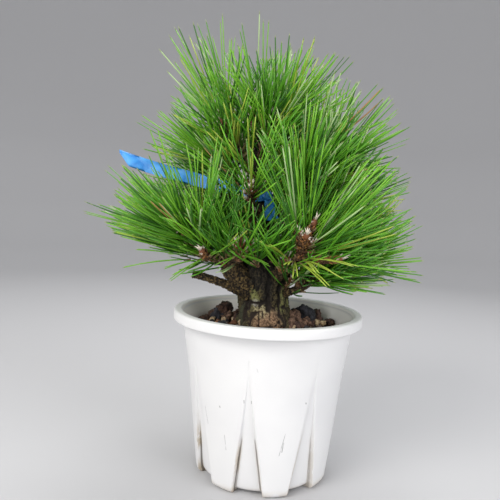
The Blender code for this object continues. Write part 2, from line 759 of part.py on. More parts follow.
def make_shoot(foot, tip, phase, rows, needles, collection):
    """Candle in rows of faces, the face at each needle's root drawn out to its tip."""
    lead = (tip - foot).normalized()
    level, upright = across(lead)
    place = Matrix((level, upright, lead)).transposed().to_4x4()
    place.translation = foot
    depth = (tip - foot).length
    bm = bmesh.new()
    bmesh.ops.create_cone(
        bm, cap_ends=True, segments=TWIG_SIDES, radius1=CANDLE_RADIUS, radius2=CANDLE_TIP_RADIUS,
        depth=depth, matrix=Matrix.Translation((0.0, 0.0, depth / 2.0)))
    uprights = [edge for edge in bm.edges if abs(edge.verts[0].co.z - edge.verts[1].co.z) > depth / 2.0]
    bmesh.ops.subdivide_edges(bm, edges=uprights, cuts=rows - 1)
    first = min((vert for vert in bm.verts if vert.co.z < NEEDLE_TIP_RADIUS), key=lambda vert: -vert.co.x)
    start_turn = math.atan2(first.co.y, first.co.x) + math.pi / TWIG_SIDES
    for vert in bm.verts:
        row = vert.co.z / depth * rows - 0.5
        turn = phase - start_turn + math.pi / TWIG_SIDES * row
        vert.co.rotate(Matrix.Rotation(turn, 3, "Z"))
    bmesh.ops.transform(bm, matrix=place, verts=bm.verts)
    bm.faces.ensure_lookup_table()
    roots = {face: face.calc_center_median() for face in bm.faces}
    for start, end in needles:
        face = min(roots, key=lambda item: (roots[item] - start).length_squared)
        del roots[face]
        centre = bmesh.ops.poke(bm, faces=[face])["verts"][0]
        centre.co = end
    bmesh.ops.triangulate(bm, faces=bm.faces)
    bmesh.ops.recalc_face_normals(bm, faces=bm.faces)
    return new_object("shoot", bm, collection)


def make_mass(index, crown, parts, green):
    """One mass: its stem and its shoots of needles, fused into one solid."""
    mass = MASSES[index]
    dice = random.Random(index)
    root, knee, hub, _ = mass_spine(mass)
    bits = new_collection(mass.name + "_bits")
    sunk = 0.6 * MM
    out = (knee - root).normalized() * sunk
    body = cone(mass.name, root, knee + out, STEM_RADIUS, 0.9 * STEM_RADIUS, TWIG_SIDES, parts)
    out = (hub - knee).normalized() * sunk
    cone("stem", knee - out, hub + out, 0.95 * STEM_RADIUS, 0.85 * STEM_RADIUS, TWIG_SIDES, bits)
    shoots = shoots_of(mass, dice)
    axes = np.array([[tuple(foot), tuple(tip)] for foot, tip in shoots])
    for number, (foot, tip) in enumerate(shoots):
        phase, rows, needles = needles_of(foot, tip, mass.needle * MM, dice)
        if number and not crown.has_room(index, [foot], [tip], CANDLE_RADIUS, CANDLE_TIP_RADIUS, 0.3)[0]:
            continue
        starts, ends = zip(*needles)
        room = crown.has_room(index, starts, ends, NEEDLE_RADIUS, NEEDLE_TIP_RADIUS)
        middles = np.array([tuple(start.lerp(end, 0.5)) for start, end in needles])
        room &= distances(middles, axes[:, 0], axes[:, 1]).argmin(axis=1) == number
        kept = [needle for needle, clear in zip(needles, room) if clear]
        make_shoot(foot, tip, phase, rows, kept, bits)
    combine(body, bits, "UNION")
    keep_largest_shell(body)
    body.data.materials.clear()
    body.data.materials.append(green)
    return body


def main():
    clear_scene()
    parts = new_collection("black_pine_bonsai")
    bark = new_material("pine_bark", (0.10, 0.07, 0.045), 0.9)
    green = new_material("pine_needles", (0.09, 0.26, 0.03), 0.5)
    make_pot(parts)
    make_soil(parts)
    make_trunk(parts, bark)
    make_boughs(parts, bark)
    make_stub(parts, bark)
    make_ribbon(parts)
    crown = Crown()
    for index in range(len(MASSES)):
        make_mass(index, crown, parts, green)


main()
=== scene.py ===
import math
import random
from collections import namedtuple

import bmesh
import bpy
import numpy as np
from mathutils import Matrix, Vector, noise


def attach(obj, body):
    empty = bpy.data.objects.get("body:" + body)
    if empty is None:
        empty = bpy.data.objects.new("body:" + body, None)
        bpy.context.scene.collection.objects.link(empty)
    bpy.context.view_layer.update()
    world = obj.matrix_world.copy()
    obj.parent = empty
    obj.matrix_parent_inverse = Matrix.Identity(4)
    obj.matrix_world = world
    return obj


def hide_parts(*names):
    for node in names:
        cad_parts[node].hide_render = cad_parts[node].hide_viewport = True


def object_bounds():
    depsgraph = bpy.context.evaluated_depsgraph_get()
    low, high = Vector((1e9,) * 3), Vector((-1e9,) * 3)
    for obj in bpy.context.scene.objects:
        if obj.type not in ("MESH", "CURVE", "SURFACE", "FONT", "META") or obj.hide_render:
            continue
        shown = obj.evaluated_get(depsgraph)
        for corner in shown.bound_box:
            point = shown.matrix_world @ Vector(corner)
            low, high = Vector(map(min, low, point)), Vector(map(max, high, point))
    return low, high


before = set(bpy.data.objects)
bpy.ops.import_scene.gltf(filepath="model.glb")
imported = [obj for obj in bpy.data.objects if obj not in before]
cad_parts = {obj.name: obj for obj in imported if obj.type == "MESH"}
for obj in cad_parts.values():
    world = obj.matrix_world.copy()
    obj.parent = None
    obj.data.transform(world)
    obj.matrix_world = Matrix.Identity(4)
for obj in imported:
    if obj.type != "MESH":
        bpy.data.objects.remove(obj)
CAD_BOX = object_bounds()
MM = 0.001
TURN = 2.0 * math.pi
UP = Vector((0.0, 0.0, 1.0))
MASS_NODES = sorted(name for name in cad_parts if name.startswith("mass_"))
BOUGH_NODES = sorted(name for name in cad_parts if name.startswith("bough_"))
print("solids:", len(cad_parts), "of them masses of needles:", len(MASS_NODES))

# %% [markdown]
# ## Where the eye stands
# The camera was fitted to the rim, the feet and the panels of the pot. It stands about 40 cm in
# front of the pot and a little above its rim, looks slightly down and is rolled by two degrees.
# %% Camera
EYE = Vector((0.0, -395.7, 201.8)) * MM
LENS = 35.47
PITCH = math.radians(3.71)
YAW = math.radians(-2.375)
ROLL = math.radians(2.44)


def camera_turn():
    """Rotation whose columns are the picture's right, its up and the way back to the eye."""
    ahead = Vector((math.sin(YAW) * math.cos(PITCH), math.cos(YAW) * math.cos(PITCH), -math.sin(PITCH)))
    level = ahead.cross(UP).normalized()
    upright = level.cross(ahead)
    right = level * math.cos(ROLL) + upright * math.sin(ROLL)
    top = upright * math.cos(ROLL) - level * math.sin(ROLL)
    return Matrix((right, top, -ahead)).transposed()


camera = bpy.data.objects.new("camera", bpy.data.cameras.new("camera"))
camera.data.lens = LENS
camera.data.clip_start = 0.01
camera.matrix_world = Matrix.Translation(EYE) @ camera_turn().to_4x4()
bpy.context.scene.collection.objects.link(camera)
bpy.context.scene.camera = camera
print("camera at", tuple(round(v, 3) for v in EYE))

# %% [markdown]
# ## Finishes from sums
# A finish is a small net of shader nodes. Written as Python sums it stays readable: a Value wraps
# one socket, and each operator on it adds the Math node that works it out. Everything else comes
# from one method that makes a node, sets it up and feeds its sockets.
# %% Values and finishes


class Value:
    """A shader socket that Python's operators can work on."""

    def __init__(self, finish, socket):
        self.finish = finish
        self.socket = socket

    def math(self, operation, *values):
        return self.finish.node("Math", {"operation": operation}, dict(enumerate(values)))

    def __add__(self, other):
        return self.math("ADD", self, other)

    def __sub__(self, other):
        return self.math("SUBTRACT", self, other)

    def __rsub__(self, other):
        return self.math("SUBTRACT", other, self)

    def __mul__(self, other):
        return self.math("MULTIPLY", self, other)

    def __truediv__(self, other):
        return self.math("DIVIDE", self, other)

    def __abs__(self):
        return self.math("ABSOLUTE", self)

    __radd__ = __add__
    __rmul__ = __mul__

    def power(self, exponent):
        return self.math("POWER", self, exponent)

    def step(self, low, high):
        """0 below low, 1 above high and a smooth rise between them; it falls if low is above high."""
        low, high, start, end = (low, high, 0.0, 1.0) if low < high else (high, low, 1.0, 0.0)
        return self.finish.node("MapRange", {"interpolation_type": "SMOOTHSTEP"}, {
            "Value": self, "From Min": low, "From Max": high, "To Min": start, "To Max": end})


class Finish:
    """One material: its nodes and the Principled shader that they feed."""

    def __init__(self, name, **constants):
        self.material = bpy.data.materials.new(name)
        self.material.use_nodes = True
        self.nodes = self.material.node_tree.nodes
        self.shader = self.nodes["Principled BSDF"]
        for socket, value in constants.items():
            self.shader.inputs[socket.replace("_", " ")].default_value = value
        self.place = None

    def node(self, kind, settings, inputs, output=None):
        made = self.nodes.new("ShaderNode" + kind)
        for name, value in settings.items():
            setattr(made, name, value)
        for name, value in inputs.items():
            self.feed(made, name, value)
        shown = [socket for socket in made.outputs if socket.enabled]
        return Value(self, made.outputs[output] if output else shown[0])

    def feed(self, node, name, value):
        named = [socket for socket in node.inputs if socket.enabled and socket.name == name]
        socket = named[0] if named else node.inputs[name]
        if isinstance(value, Value):
            self.material.node_tree.links.new(value.socket, socket)
        else:
            socket.default_value = value

    def object_place(self):
        """Where a point lies on the piece, in metres."""
        if self.place is None:
            self.place = self.node("TexCoord", {}, {}, "Object")
        return self.place

    def along(self):
        """The same place as three numbers in millimetres."""
        split = self.node("SeparateXYZ", {}, {"Vector": self.object_place()}, "X")
        return [Value(self, split.socket.node.outputs[axis]) * 1000.0 for axis in "XYZ"]

    def stretched(self, scale):
        return self.node("Mapping", {}, {"Vector": self.object_place(), "Scale": scale})

    def noise(self, scale, detail=3.0, roughness=0.55, vector=None):
        """Cloudy values from 0 to 1; scale is how many clouds fit in a metre."""
        return self.node("TexNoise", {}, {
            "Vector": vector or self.object_place(), "Scale": scale, "Detail": detail, "Roughness": roughness})

    def mix(self, share, low, high):
        """Blend of two colours."""
        low, high = (colour if isinstance(colour, Value) else (*colour, 1.0) for colour in (low, high))
        return self.node("Mix", {"data_type": "RGBA"}, {"Factor": share, "A": low, "B": high})

    def relief(self, height, depth_mm, strength=1.0):
        bump = self.node("Bump", {}, {"Height": height, "Distance": depth_mm * MM, "Strength": strength})
        self.feed(self.shader, "Normal", bump)


print("finishes are ready to be written")

# %% [markdown]
# ## Setting a piece down
# Each finished piece is one mesh whose object stays at the origin. It rides on the body of the frame, and the solids
# that it stands for are hidden.
# %% Pieces


def set_down(name, shape, material, nodes, smooth=True):
    """Turn a bmesh or a mesh into a piece of the object."""
    if isinstance(shape, bmesh.types.BMesh):
        mesh = bpy.data.meshes.new(name)
        shape.to_mesh(mesh)
        shape.free()
    else:
        mesh = shape
    mesh.polygons.foreach_set("use_smooth", [smooth] * len(mesh.polygons))
    mesh.materials.append(material)
    piece = bpy.data.objects.new(name, mesh)
    bpy.context.scene.collection.objects.link(piece)
    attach(piece, "root")
    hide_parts(*nodes)
    triangles = sum(len(face.vertices) - 2 for face in mesh.polygons)
    print(f"{name}: {triangles} triangles")
    return piece


def polar(radius, angle, height):
    return Vector((radius * math.cos(angle), radius * math.sin(angle), height))


def smooth_rise(value, low, high):
    """0 below low, 1 above high, smooth between; works on numbers and arrays."""
    share = np.clip((value - low) / (high - low), 0.0, 1.0)
    return share * share * (3.0 - 2.0 * share)


# %% [markdown]
# ## The studio
# A pale round sweep stands under and behind the plant on every side, so no edge shows from
# anywhere. It is a profile spun about the upright axis. One broad soft lamp hangs at the upper
# left, a weaker one fills from the right, a low one shines in under the crown from the front, and
# the pale sky does the rest.
# %% Floor and lamps
SWEEP = ((0.0, 0.0), (1.4, 0.0), (1.75, 0.06), (2.02, 0.24), (2.2, 0.55), (2.25, 1.0), (2.25, 2.2))


def sweep():
    bm = bmesh.new()
    points = [bm.verts.new((radius, 0.0, height)) for radius, height in SWEEP]
    edges = [bm.edges.new(pair) for pair in zip(points, points[1:])]
    bmesh.ops.spin(bm, geom=points + edges, cent=(0, 0, 0), axis=(0, 0, 1), angle=TURN, steps=96, use_merge=True)
    bmesh.ops.remove_doubles(bm, verts=bm.verts, dist=1e-5)
    bmesh.ops.recalc_face_normals(bm, faces=bm.faces)
    mesh = bpy.data.meshes.new("floor")
    bm.to_mesh(mesh)
    bm.free()
    mesh.polygons.foreach_set("use_smooth", [True] * len(mesh.polygons))
    return mesh


def lamp(name, place, aim, size, power, colour):
    light = bpy.data.lights.new(name, "AREA")
    light.shape = "DISK"
    light.size = size
    light.energy = power
    light.color = colour
    fixture = bpy.data.objects.new(name, light)
    fixture.location = place
    fixture.rotation_euler = (Vector(aim) - Vector(place)).to_track_quat("-Z", "Y").to_euler()
    bpy.context.scene.collection.objects.link(fixture)


floor = bpy.data.objects.new("floor", sweep())
floor.data.materials.append(Finish("studio_sweep", Base_Color=(0.50, 0.50, 0.51, 1.0), Roughness=0.8).material)
bpy.context.scene.collection.objects.link(floor)
world = bpy.data.worlds.new("studio")
world.use_nodes = True
world.node_tree.nodes["Background"].inputs["Color"].default_value = (0.97, 0.98, 1.0, 1.0)
world.node_tree.nodes["Background"].inputs["Strength"].default_value = 0.66
bpy.context.scene.world = world
bpy.context.scene.view_settings.view_transform = "Standard"
lamp("key", (-0.8, -0.85, 1.0), (0.0, 0.0, 0.16), 0.7, 12.5, (1.0, 0.98, 0.95))
lamp("low", (-0.5, -1.1, 0.36), (0.0, 0.0, 0.14), 0.5, 4.6, (1.0, 0.98, 0.96))
lamp("fill", (0.95, -0.7, 0.6), (0.0, 0.0, 0.16), 0.9, 9.0, (0.98, 0.98, 1.0))
lamp("top", (0.1, 0.5, 1.3), (0.0, 0.0, 0.2), 0.8, 8.0, (1.0, 1.0, 1.0))
print("floor sweeps up from a radius of", SWEEP[1][0], "m")

# %% [markdown]
# ## The pot
# The pot is moulded in white plastic. Eight long triangles of its wall are pressed in, which
# leaves eight feet, and a slit for air runs down each side of a triangle. A lathe would make the
# round pot, so the half section is spun, with its corners bevelled first. The spin's columns are
# then moved: they follow the slanting edges of the triangles, and sink where the wall is pressed.
# %% Pot sizes, in mm as the solid has them
POT_HEIGHT = 129.0
RIM_RADIUS = 75.0
RIM_BOTTOM = 121.3
LIP_RADIUS = 68.8
FOOT_RADIUS = 53.2
FOOT_ROUNDING = 5.0
WALL_TAPER = 0.104
TOP_FLARE = 0.043
TOP_FLARE_START = 77.0
WALL_THICKNESS = 2.0
FLOOR_THICKNESS = 3.5
PANELS = 8
PANEL = TURN / PANELS
FIRST_RECESS = math.radians(-100.0)
RECESS_TOP = 95.0
RECESS_WIDTH = 24.0
RECESS_DEPTH = 4.5
CHANNEL_HEIGHT = 2.0
CHANNEL_INNER_RADIUS = 24.0
SLIT_BOTTOM = 3.0
SLIT_TOP = 44.0
SLIT_DEPTH = 1.7
# Columns of half a panel: distance in from the triangle's edge in mm, share of the recess's
# depth, and share of the slit's depth. Those below come on the foot, outside the edge.
EDGE_COLUMNS = ((2.15, 1.0, 0.0), (1.8, 1.0, 0.0), (1.62, 1.0, 1.0), (1.18, 1.0, 1.0), (1.0, 1.0, 0.0),
                (0.78, 0.97, 0.0), (0.5, 0.55, 0.0), (0.2, 0.1, 0.0), (-0.2, 0.0, 0.0))
FLOOR_COLUMNS = 6
FOOT_COLUMNS = 9
HALF_PANEL = FLOOR_COLUMNS + len(EDGE_COLUMNS) + FOOT_COLUMNS


def wall_radius(height):
    return FOOT_RADIUS + WALL_TAPER * height + TOP_FLARE * max(0.0, height - TOP_FLARE_START)


def recess_half_width(height):
    return RECESS_WIDTH / 2.0 * max(0.0, 1.0 - height / RECESS_TOP)


def wall_column(index, height):
    """Angle from the triangle's middle, sink of the recess and of the slit, for one column."""
    half = recess_half_width(height)
    radius = wall_radius(height)
    room = min(1.0, half / 3.2)
    slit = SLIT_DEPTH if SLIT_BOTTOM < height < SLIT_TOP else 0.0
    if index < FLOOR_COLUMNS:
        across = (half - EDGE_COLUMNS[0][0] * room) * index / FLOOR_COLUMNS
        return across / radius, 1.0, 0.0
    if index < FLOOR_COLUMNS + len(EDGE_COLUMNS):
        inward, sink, cut = EDGE_COLUMNS[index - FLOOR_COLUMNS]
        return (half - inward * max(room, 0.1)) / radius, sink, cut * slit
    edge = (half - EDGE_COLUMNS[-1][0]) / radius
    share = (index - FLOOR_COLUMNS - len(EDGE_COLUMNS) + 1) / (FOOT_COLUMNS + 1)
    return edge + (PANEL / 2.0 - edge) * share, 0.0, 0.0


# %% Pot section and spin


def pot_section():
    """Half section from the rim's top, down the outside, across the bottom and up the inside."""
    rounding = [math.radians(90.0 * k / 5) for k in range(6)]
    foot = wall_radius(FOOT_ROUNDING)
    outside = [RIM_BOTTOM - (RIM_BOTTOM - FOOT_ROUNDING) * k / 64 for k in range(65)]
    section = [(LIP_RADIUS, POT_HEIGHT), (RIM_RADIUS, POT_HEIGHT), (RIM_RADIUS + 0.2, RIM_BOTTOM)]
    section += [(wall_radius(height), height) for height in outside]
    section += [(foot - FOOT_ROUNDING * (1 - math.cos(a)), FOOT_ROUNDING * (1 - math.sin(a))) for a in rounding[1:]]
    section += [(radius, 0.0) for radius in (44.0, 38.0, 31.0, CHANNEL_INNER_RADIUS, 12.0, 0.0)]
    section += [(0.0, FLOOR_THICKNESS), (46.0, FLOOR_THICKNESS), (62.3, 108.0), (63.2, 112.0), (64.0, 118.0)]
    return section + [(65.6, RIM_BOTTOM + 1.0)]


def spun_pot():
    bm = bmesh.new()
    points = [bm.verts.new((radius * MM, 0.0, height * MM)) for radius, height in pot_section()]
    for pair in zip(points, points[1:] + points[:1]):
        bm.edges.new(pair)
    corners = {points[0]: 1.4, points[1]: 1.5, points[2]: 1.2}
    for corner, rounding in corners.items():
        bmesh.ops.bevel(bm, geom=[corner], affect="VERTICES", offset=rounding * MM, segments=5,
                        profile=0.5, material=-1)
    bmesh.ops.spin(bm, geom=bm.verts[:] + bm.edges[:], cent=(0, 0, 0), axis=(0, 0, 1), angle=TURN,
                   steps=2 * HALF_PANEL * PANELS, use_merge=True)
    bmesh.ops.remove_doubles(bm, verts=bm.verts, dist=0.005 * MM)
    bmesh.ops.recalc_face_normals(bm, faces=bm.faces)
    return bm


def press_wall(bm):
    """Move the spin's columns to the triangles' edges and sink the recesses, slits and channels."""
    top = RIM_BOTTOM - 3.0
    for vert in bm.verts:
        height = vert.co.z / MM
        radius = math.hypot(vert.co.x, vert.co.y) / MM
        outside = abs(radius - wall_radius(height)) < 0.05 and FOOT_ROUNDING - 0.1 < height < RIM_BOTTOM
        underside = height < FOOT_ROUNDING and radius > 1.0 and height < FLOOR_THICKNESS - 0.1
        underside |= radius > 46.5 and height < FOOT_ROUNDING
        if not (outside or underside) or height > top:
            continue
        turned = (math.atan2(vert.co.y, vert.co.x) - FIRST_RECESS + TURN) / PANEL
        panel = round(turned)
        index = round((turned - panel) * 2 * HALF_PANEL)
        side = -1.0 if index < 0 else 1.0
        angle, sink, cut = wall_column(abs(index), height)
        plain = abs(index) / HALF_PANEL * PANEL / 2.0
        follow = float(smooth_rise(top - height, 0.0, 18.0)) if outside else 1.0
        angle = plain + (angle - plain) * follow
        fade = 1.0 - float(smooth_rise(radius, 30.0, 40.0)) if not outside else 0.0
        depth = sink * RECESS_DEPTH * max(0.0, 1.0 - height / RECESS_TOP) * (1.0 - fade)
        lift = CHANNEL_HEIGHT * sink * max(0.0, 1.0 - height / (2.0 * FOOT_ROUNDING))
        if radius <= CHANNEL_INNER_RADIUS + 0.1 and not outside:
            lift = 0.0
        reach = radius - depth - cut
        azimuth = FIRST_RECESS + panel * PANEL + side * angle
        vert.co = polar(reach * MM, azimuth, (height + lift) * MM)


# %% [markdown]
# ### White plastic that has stood outside
# The plastic is a satin white. Inside, above the soil, the wall is painted a warm grey as painted shade, growing
# lighter towards the right as painted light. Brown water has dried in and beside the slits, and each slit is painted
# near black as painted shade for its dark opening; the feet are dusty, and a few thin grey scuffs cross the wall.
# The place on the pot, as an angle and a height, tells the finish where each of these lies.
# %% Pot finish
SCUFFS = ((-73.6, 50.9, -77.1, 34.3, 0.28), (-117.8, 45.3, -116.7, 34.0, 0.25), (-74.4, 44.0, -75.2, 37.0, 0.45),
          (-121.4, 66.3, -121.1, 65.5, 0.55), (-60.4, 72.8, -60.2, 72.2, 0.6), (-95.0, 99.0, -94.2, 96.5, 0.2),
          (-103.0, 74.6, -102.9, 72.6, 0.4), (-98.1, 74.4, -98.0, 72.6, 0.4), (-136.0, 62.0, -133.5, 49.0, 0.2),
          (38.0, 70.0, 33.0, 52.0, 0.3), (118.0, 60.0, 121.0, 41.0, 0.25), (171.0, 88.0, 169.0, 70.0, 0.25))


def scuff(finish, around, height, mark):
    """Mask of one thin stroke between two places, each an angle in degrees and a height in mm."""
    first, low, last, high, width = mark
    run, rise = math.radians(last - first) * 57.0, high - low
    length2 = run * run + rise * rise
    aside = (around - math.radians(first)) * 57.0
    above = height - low
    share = (aside * run + above * rise) * (1.0 / length2)
    share = share.math("MAXIMUM", share.math("MINIMUM", share, 1.0), 0.0)
    off = (aside - share * run).power(2.0) + (above - share * rise).power(2.0)
    return off.power(0.5).step(width, 0.4 * width)


def white_plastic():
    finish = Finish("white_pot_plastic", IOR=1.46)
    x, y, z = finish.along()
    around = y.math("ARCTAN2", y, x)
    radius = (x * x + y * y).power(0.5)
    local = around.math("WRAP", around - FIRST_RECESS, PANEL / 2.0, -PANEL / 2.0)
    across = local * radius
    half = z.math("MAXIMUM", 1.0 - z * (1.0 / RECESS_TOP), 0.0) * (RECESS_WIDTH / 2.0)
    beside = abs(abs(across) - half + 1.3)
    clouds = finish.noise(60.0, 4.0)
    streaks = finish.noise(900.0, 4.0, 0.65, finish.stretched((1.0, 1.0, 0.12)))
    patches = finish.noise(22.0, 2.0)
    fine = finish.noise(1500.0, 3.0)
    wall = z * WALL_TAPER + z.math("MAXIMUM", z - TOP_FLARE_START, 0.0) * TOP_FLARE + FOOT_RADIUS
    inside = (wall - radius).step(0.8, 1.4) * z.step(104.0, 106.0) + radius.step(69.3, 68.9) * z.step(126.5, 127.5)
    inside = inside.math("MINIMUM", inside, 1.0) * z.step(POT_HEIGHT - 0.1, POT_HEIGHT - 1.0)
    low = z.step(58.0, 20.0)
    left = across.step(0.5, -0.5)
    stained = beside.step(2.5, 0.3) * low * outer_only(z) * (left * 0.6 + 0.35) * streaks.step(0.30, 0.5) * patches.step(0.32, 0.5)
    # Slits: a near-black line along each slit's opening, a painted shade
    slit = beside.step(0.42, 0.2) * z.step(SLIT_TOP + 1.0, SLIT_TOP - 16.0) * outer_only(z) * (left * 0.5 + 0.35)
    dusty = z.step(8.0, 0.5) * clouds.step(0.35, 0.6) * outer_only(z)
    colour = finish.mix(patches.step(0.3, 0.75), (0.73, 0.73, 0.735), (0.77, 0.77, 0.77))
    # Inside wall: a warm grey painted shade, darker on the left, with painted light that brightens it towards the
    # right
    inside_painted_shade = finish.mix(clouds, (0.82, 0.79, 0.73), (0.92, 0.90, 0.86))
    colour = finish.mix(inside, colour, finish.mix(x.step(8.0, 60.0), inside_painted_shade, (0.94, 0.93, 0.91)))
    splash = inside * z.step(121.0, 112.0) * streaks.step(0.4, 0.7)
    colour = finish.mix(splash * 0.65, colour, (0.25, 0.19, 0.14))
    colour = finish.mix(dusty * 0.5, colour, (0.55, 0.46, 0.33))
    colour = finish.mix(stained * 0.9, colour, (0.34, 0.24, 0.11))
    # Painted shade: the slits' openings near black
    colour = finish.mix(slit * 0.9, colour, (0.04, 0.028, 0.016))
    marks = sum((scuff(finish, around, z, mark) for mark in SCUFFS[1:]), scuff(finish, around, z, SCUFFS[0]))
    colour = finish.mix(marks * streaks.step(0.3, 0.5) * 0.75, colour, (0.22, 0.22, 0.22))
    specks = fine.step(0.70, 0.74) * patches.step(0.45, 0.65)
    colour = finish.mix(specks * 0.35, colour, (0.36, 0.32, 0.27))
    finish.feed(finish.shader, "Base Color", colour)
    finish.feed(finish.shader, "Roughness", clouds * 0.16 + stained * 0.2 + 0.32)
    finish.relief(fine * 0.35 + clouds * 0.65, 0.25, 0.35)
    return finish.material


def outer_only(z):
    """1 on the wall's outside, 0 on the inside and under the rim."""
    return z.step(110.0, 104.0)


pot = spun_pot()
press_wall(pot)
bmesh.ops.recalc_face_normals(pot, faces=pot.faces)
pot_piece = set_down("slotted_pot", pot, white_plastic(), ["pot"])
print("pot is", round(pot_piece.dimensions.x / MM, 1), "mm wide")

# %% [markdown]
# ## Many small things at once
# Grains, scales, buds and needles repeat by the hundred. One small shape is made with bmesh
# operators, and its points are then set down again and again as rows of numbers. All the copies of
# one kind become one joined mesh, which is quick to make and to render.
# %% Joined copies


def template(bm):
    """Points and triangles of a small shape, as arrays."""
    bmesh.ops.triangulate(bm, faces=bm.faces)
    bmesh.ops.recalc_face_normals(bm, faces=bm.faces)
    bm.verts.index_update()
    points = np.array([tuple(vert.co) for vert in bm.verts])
    faces = np.array([[vert.index for vert in face.verts] for face in bm.faces])
    bm.free()
    return points, faces


def joined_mesh(name, points, faces):
    """Mesh of many copies: points is copies x corners x 3, and the faces repeat on each copy."""
    copies, corners = points.shape[:2]
    mesh = bpy.data.meshes.new(name)
    every = faces[None] + (np.arange(copies) * corners)[:, None, None]
    mesh.vertices.add(copies * corners)
    mesh.vertices.foreach_set("co", points.reshape(-1).astype(np.float32))
    mesh.loops.add(every.size)
    mesh.loops.foreach_set("vertex_index", every.reshape(-1).astype(np.int32))
    mesh.polygons.add(copies * len(faces))
    mesh.polygons.foreach_set("loop_start", np.arange(0, every.size, 3, dtype=np.int32))
    mesh.update(calc_edges=True)
    mesh.validate()
    return mesh


def unit(vectors):
    return vectors / np.maximum(np.linalg.norm(vectors, axis=-1, keepdims=True), 1e-12)


def frames(ways, dice):
    """Two unit vectors square to each way, turned at random about it."""
    guide = np.where(np.abs(ways[:, 2:3]) > 0.9, [[1.0, 0.0, 0.0]], [[0.0, 0.0, 1.0]])
    side = unit(np.cross(ways, guide))
    other = np.cross(ways, side)
    turn = np.array([dice.uniform(0.0, TURN) for _ in ways])[:, None]
    return side * np.cos(turn) + other * np.sin(turn), other * np.cos(turn) - side * np.sin(turn)


# %% [markdown]
# ## Grit
# The pot holds coarse mineral grains and bark chips, heaped a little towards the trunk. A bed
# closes the surface, and some fifteen hundred crushed grains lie on it, dark brown, black,
# red-brown and pale. A few large lumps stand out near the trunk.
# %% Bed of soil
BED_RADIUS = 63.5
BED_LEVEL = 112.0
MOUND_HEIGHT = 8.5
MOUND_REACH = 34.0
TRUNK_PLACE = (-3.0, -2.0)


def bed_height(x, y):
    """Level of the grit at a place, in mm: a low mound round the trunk with bumps."""
    away = math.hypot(x - TRUNK_PLACE[0], y - TRUNK_PLACE[1])
    bumps = noise.noise(Vector((x, y, 7.0)) * 0.09) * 2.0 + noise.noise(Vector((x, y, 3.0)) * 0.3) * 0.8
    return BED_LEVEL + MOUND_HEIGHT * math.exp(-(away / MOUND_REACH) ** 2) + bumps


def soil_bed():
    bm = bmesh.new()
    bmesh.ops.create_circle(bm, cap_ends=True, segments=72, radius=BED_RADIUS * MM)
    base = bm.faces[:]
    for _ in range(16):
        bmesh.ops.inset_region(bm, faces=base, thickness=BED_RADIUS / 17.0 * MM, use_even_offset=False)
    for vert in bm.verts:
        vert.co.z = bed_height(vert.co.x / MM, vert.co.y / MM) * MM - 1.5 * MM
    rim = [edge for edge in bm.edges if edge.is_boundary]
    skirt = bmesh.ops.extrude_edge_only(bm, edges=rim)["geom"]
    low = [item for item in skirt if isinstance(item, bmesh.types.BMVert)]
    for vert in low:
        vert.co = Vector((vert.co.x * 0.97, vert.co.y * 0.97, 100.0 * MM))
    bmesh.ops.contextual_create(bm, geom=[item for item in skirt if isinstance(item, bmesh.types.BMEdge)])
    bmesh.ops.recalc_face_normals(bm, faces=bm.faces)
    return bm


def crushed_stone(name, dark, pale, lump_scale, roughness=0.92):
    finish = Finish(name)
    clouds = finish.noise(lump_scale, 4.0, 0.65)
    fine = finish.noise(lump_scale * 5.0, 3.0, 0.6)
    colour = finish.mix(clouds.step(0.34, 0.66), dark, pale)
    finish.feed(finish.shader, "Base Color", colour)
    finish.shader.inputs["Roughness"].default_value = roughness
    finish.relief(fine, 0.5, 0.8)
    return finish.material


set_down("grit_bed", soil_bed(), crushed_stone("bed_of_fines", (0.030, 0.018, 0.012), (0.11, 0.065, 0.04), 260.0),
         ["soil"])

# %% Loose grains
GRAIN_KINDS = (
    ("grains_dark", (0.035, 0.022, 0.016), (0.12, 0.07, 0.045), 0.38),
    ("grains_redbrown", (0.10, 0.04, 0.022), (0.26, 0.12, 0.06), 0.26),
    ("grains_black", (0.008, 0.008, 0.010), (0.045, 0.042, 0.045), 0.14),
    ("grains_tan", (0.30, 0.19, 0.10), (0.55, 0.42, 0.27), 0.12),
    ("grains_grey", (0.16, 0.12, 0.10), (0.34, 0.28, 0.24), 0.10),
)
GRAIN_COUNT = 1700
TRUNK_CLEAR = 17.0


def stone_shapes(subdivisions, kinds, seed):
    """A few crushed stones of radius 1: icospheres with faces knocked off flat."""
    dice = random.Random(seed)
    shapes = []
    for _ in range(kinds):
        bm = bmesh.new()
        bmesh.ops.create_icosphere(bm, subdivisions=subdivisions, radius=1.0)
        for _ in range(7):
            cut = Vector((dice.gauss(0, 1), dice.gauss(0, 1), dice.gauss(0, 1))).normalized()
            level = dice.uniform(0.55, 0.85)
            for vert in bm.verts:
                over = vert.co.dot(cut) - level
                if over > 0.0:
                    vert.co -= cut * over * 0.92
        for vert in bm.verts:
            vert.co *= 1.0 + 0.12 * noise.noise(vert.co * 2.5 + Vector((seed, 0.0, 0.0)))
        shapes.append(template(bm))
    return shapes


def scattered_grains():
    """Rows of (place, size, tilt, kind) of every loose grain."""
    dice = random.Random(41)
    names = [kind[0] for kind in GRAIN_KINDS]
    shares = [kind[3] for kind in GRAIN_KINDS]
    rows = []
    while len(rows) < GRAIN_COUNT:
        reach = (BED_RADIUS - 1.5) * math.sqrt(dice.random())
        angle = dice.uniform(0.0, TURN)
        x, y = reach * math.cos(angle), reach * math.sin(angle)
        if math.hypot(x - TRUNK_PLACE[0], y - TRUNK_PLACE[1]) < TRUNK_CLEAR:
            continue
        size = min(3.6, 1.1 + dice.expovariate(1.15))
        kind = "grains_tan" if x > 32.0 and abs(y) < 26.0 and dice.random() < 0.35 else dice.choices(names, shares)[0]
        if reach + size > BED_RADIUS + 0.3:
            continue
        level = bed_height(x, y) - 1.2 + dice.uniform(0.0, 1.0) * size * 0.75
        rows.append(((x, y, level), size, [dice.uniform(0.0, TURN) for _ in range(3)], kind))
    return rows


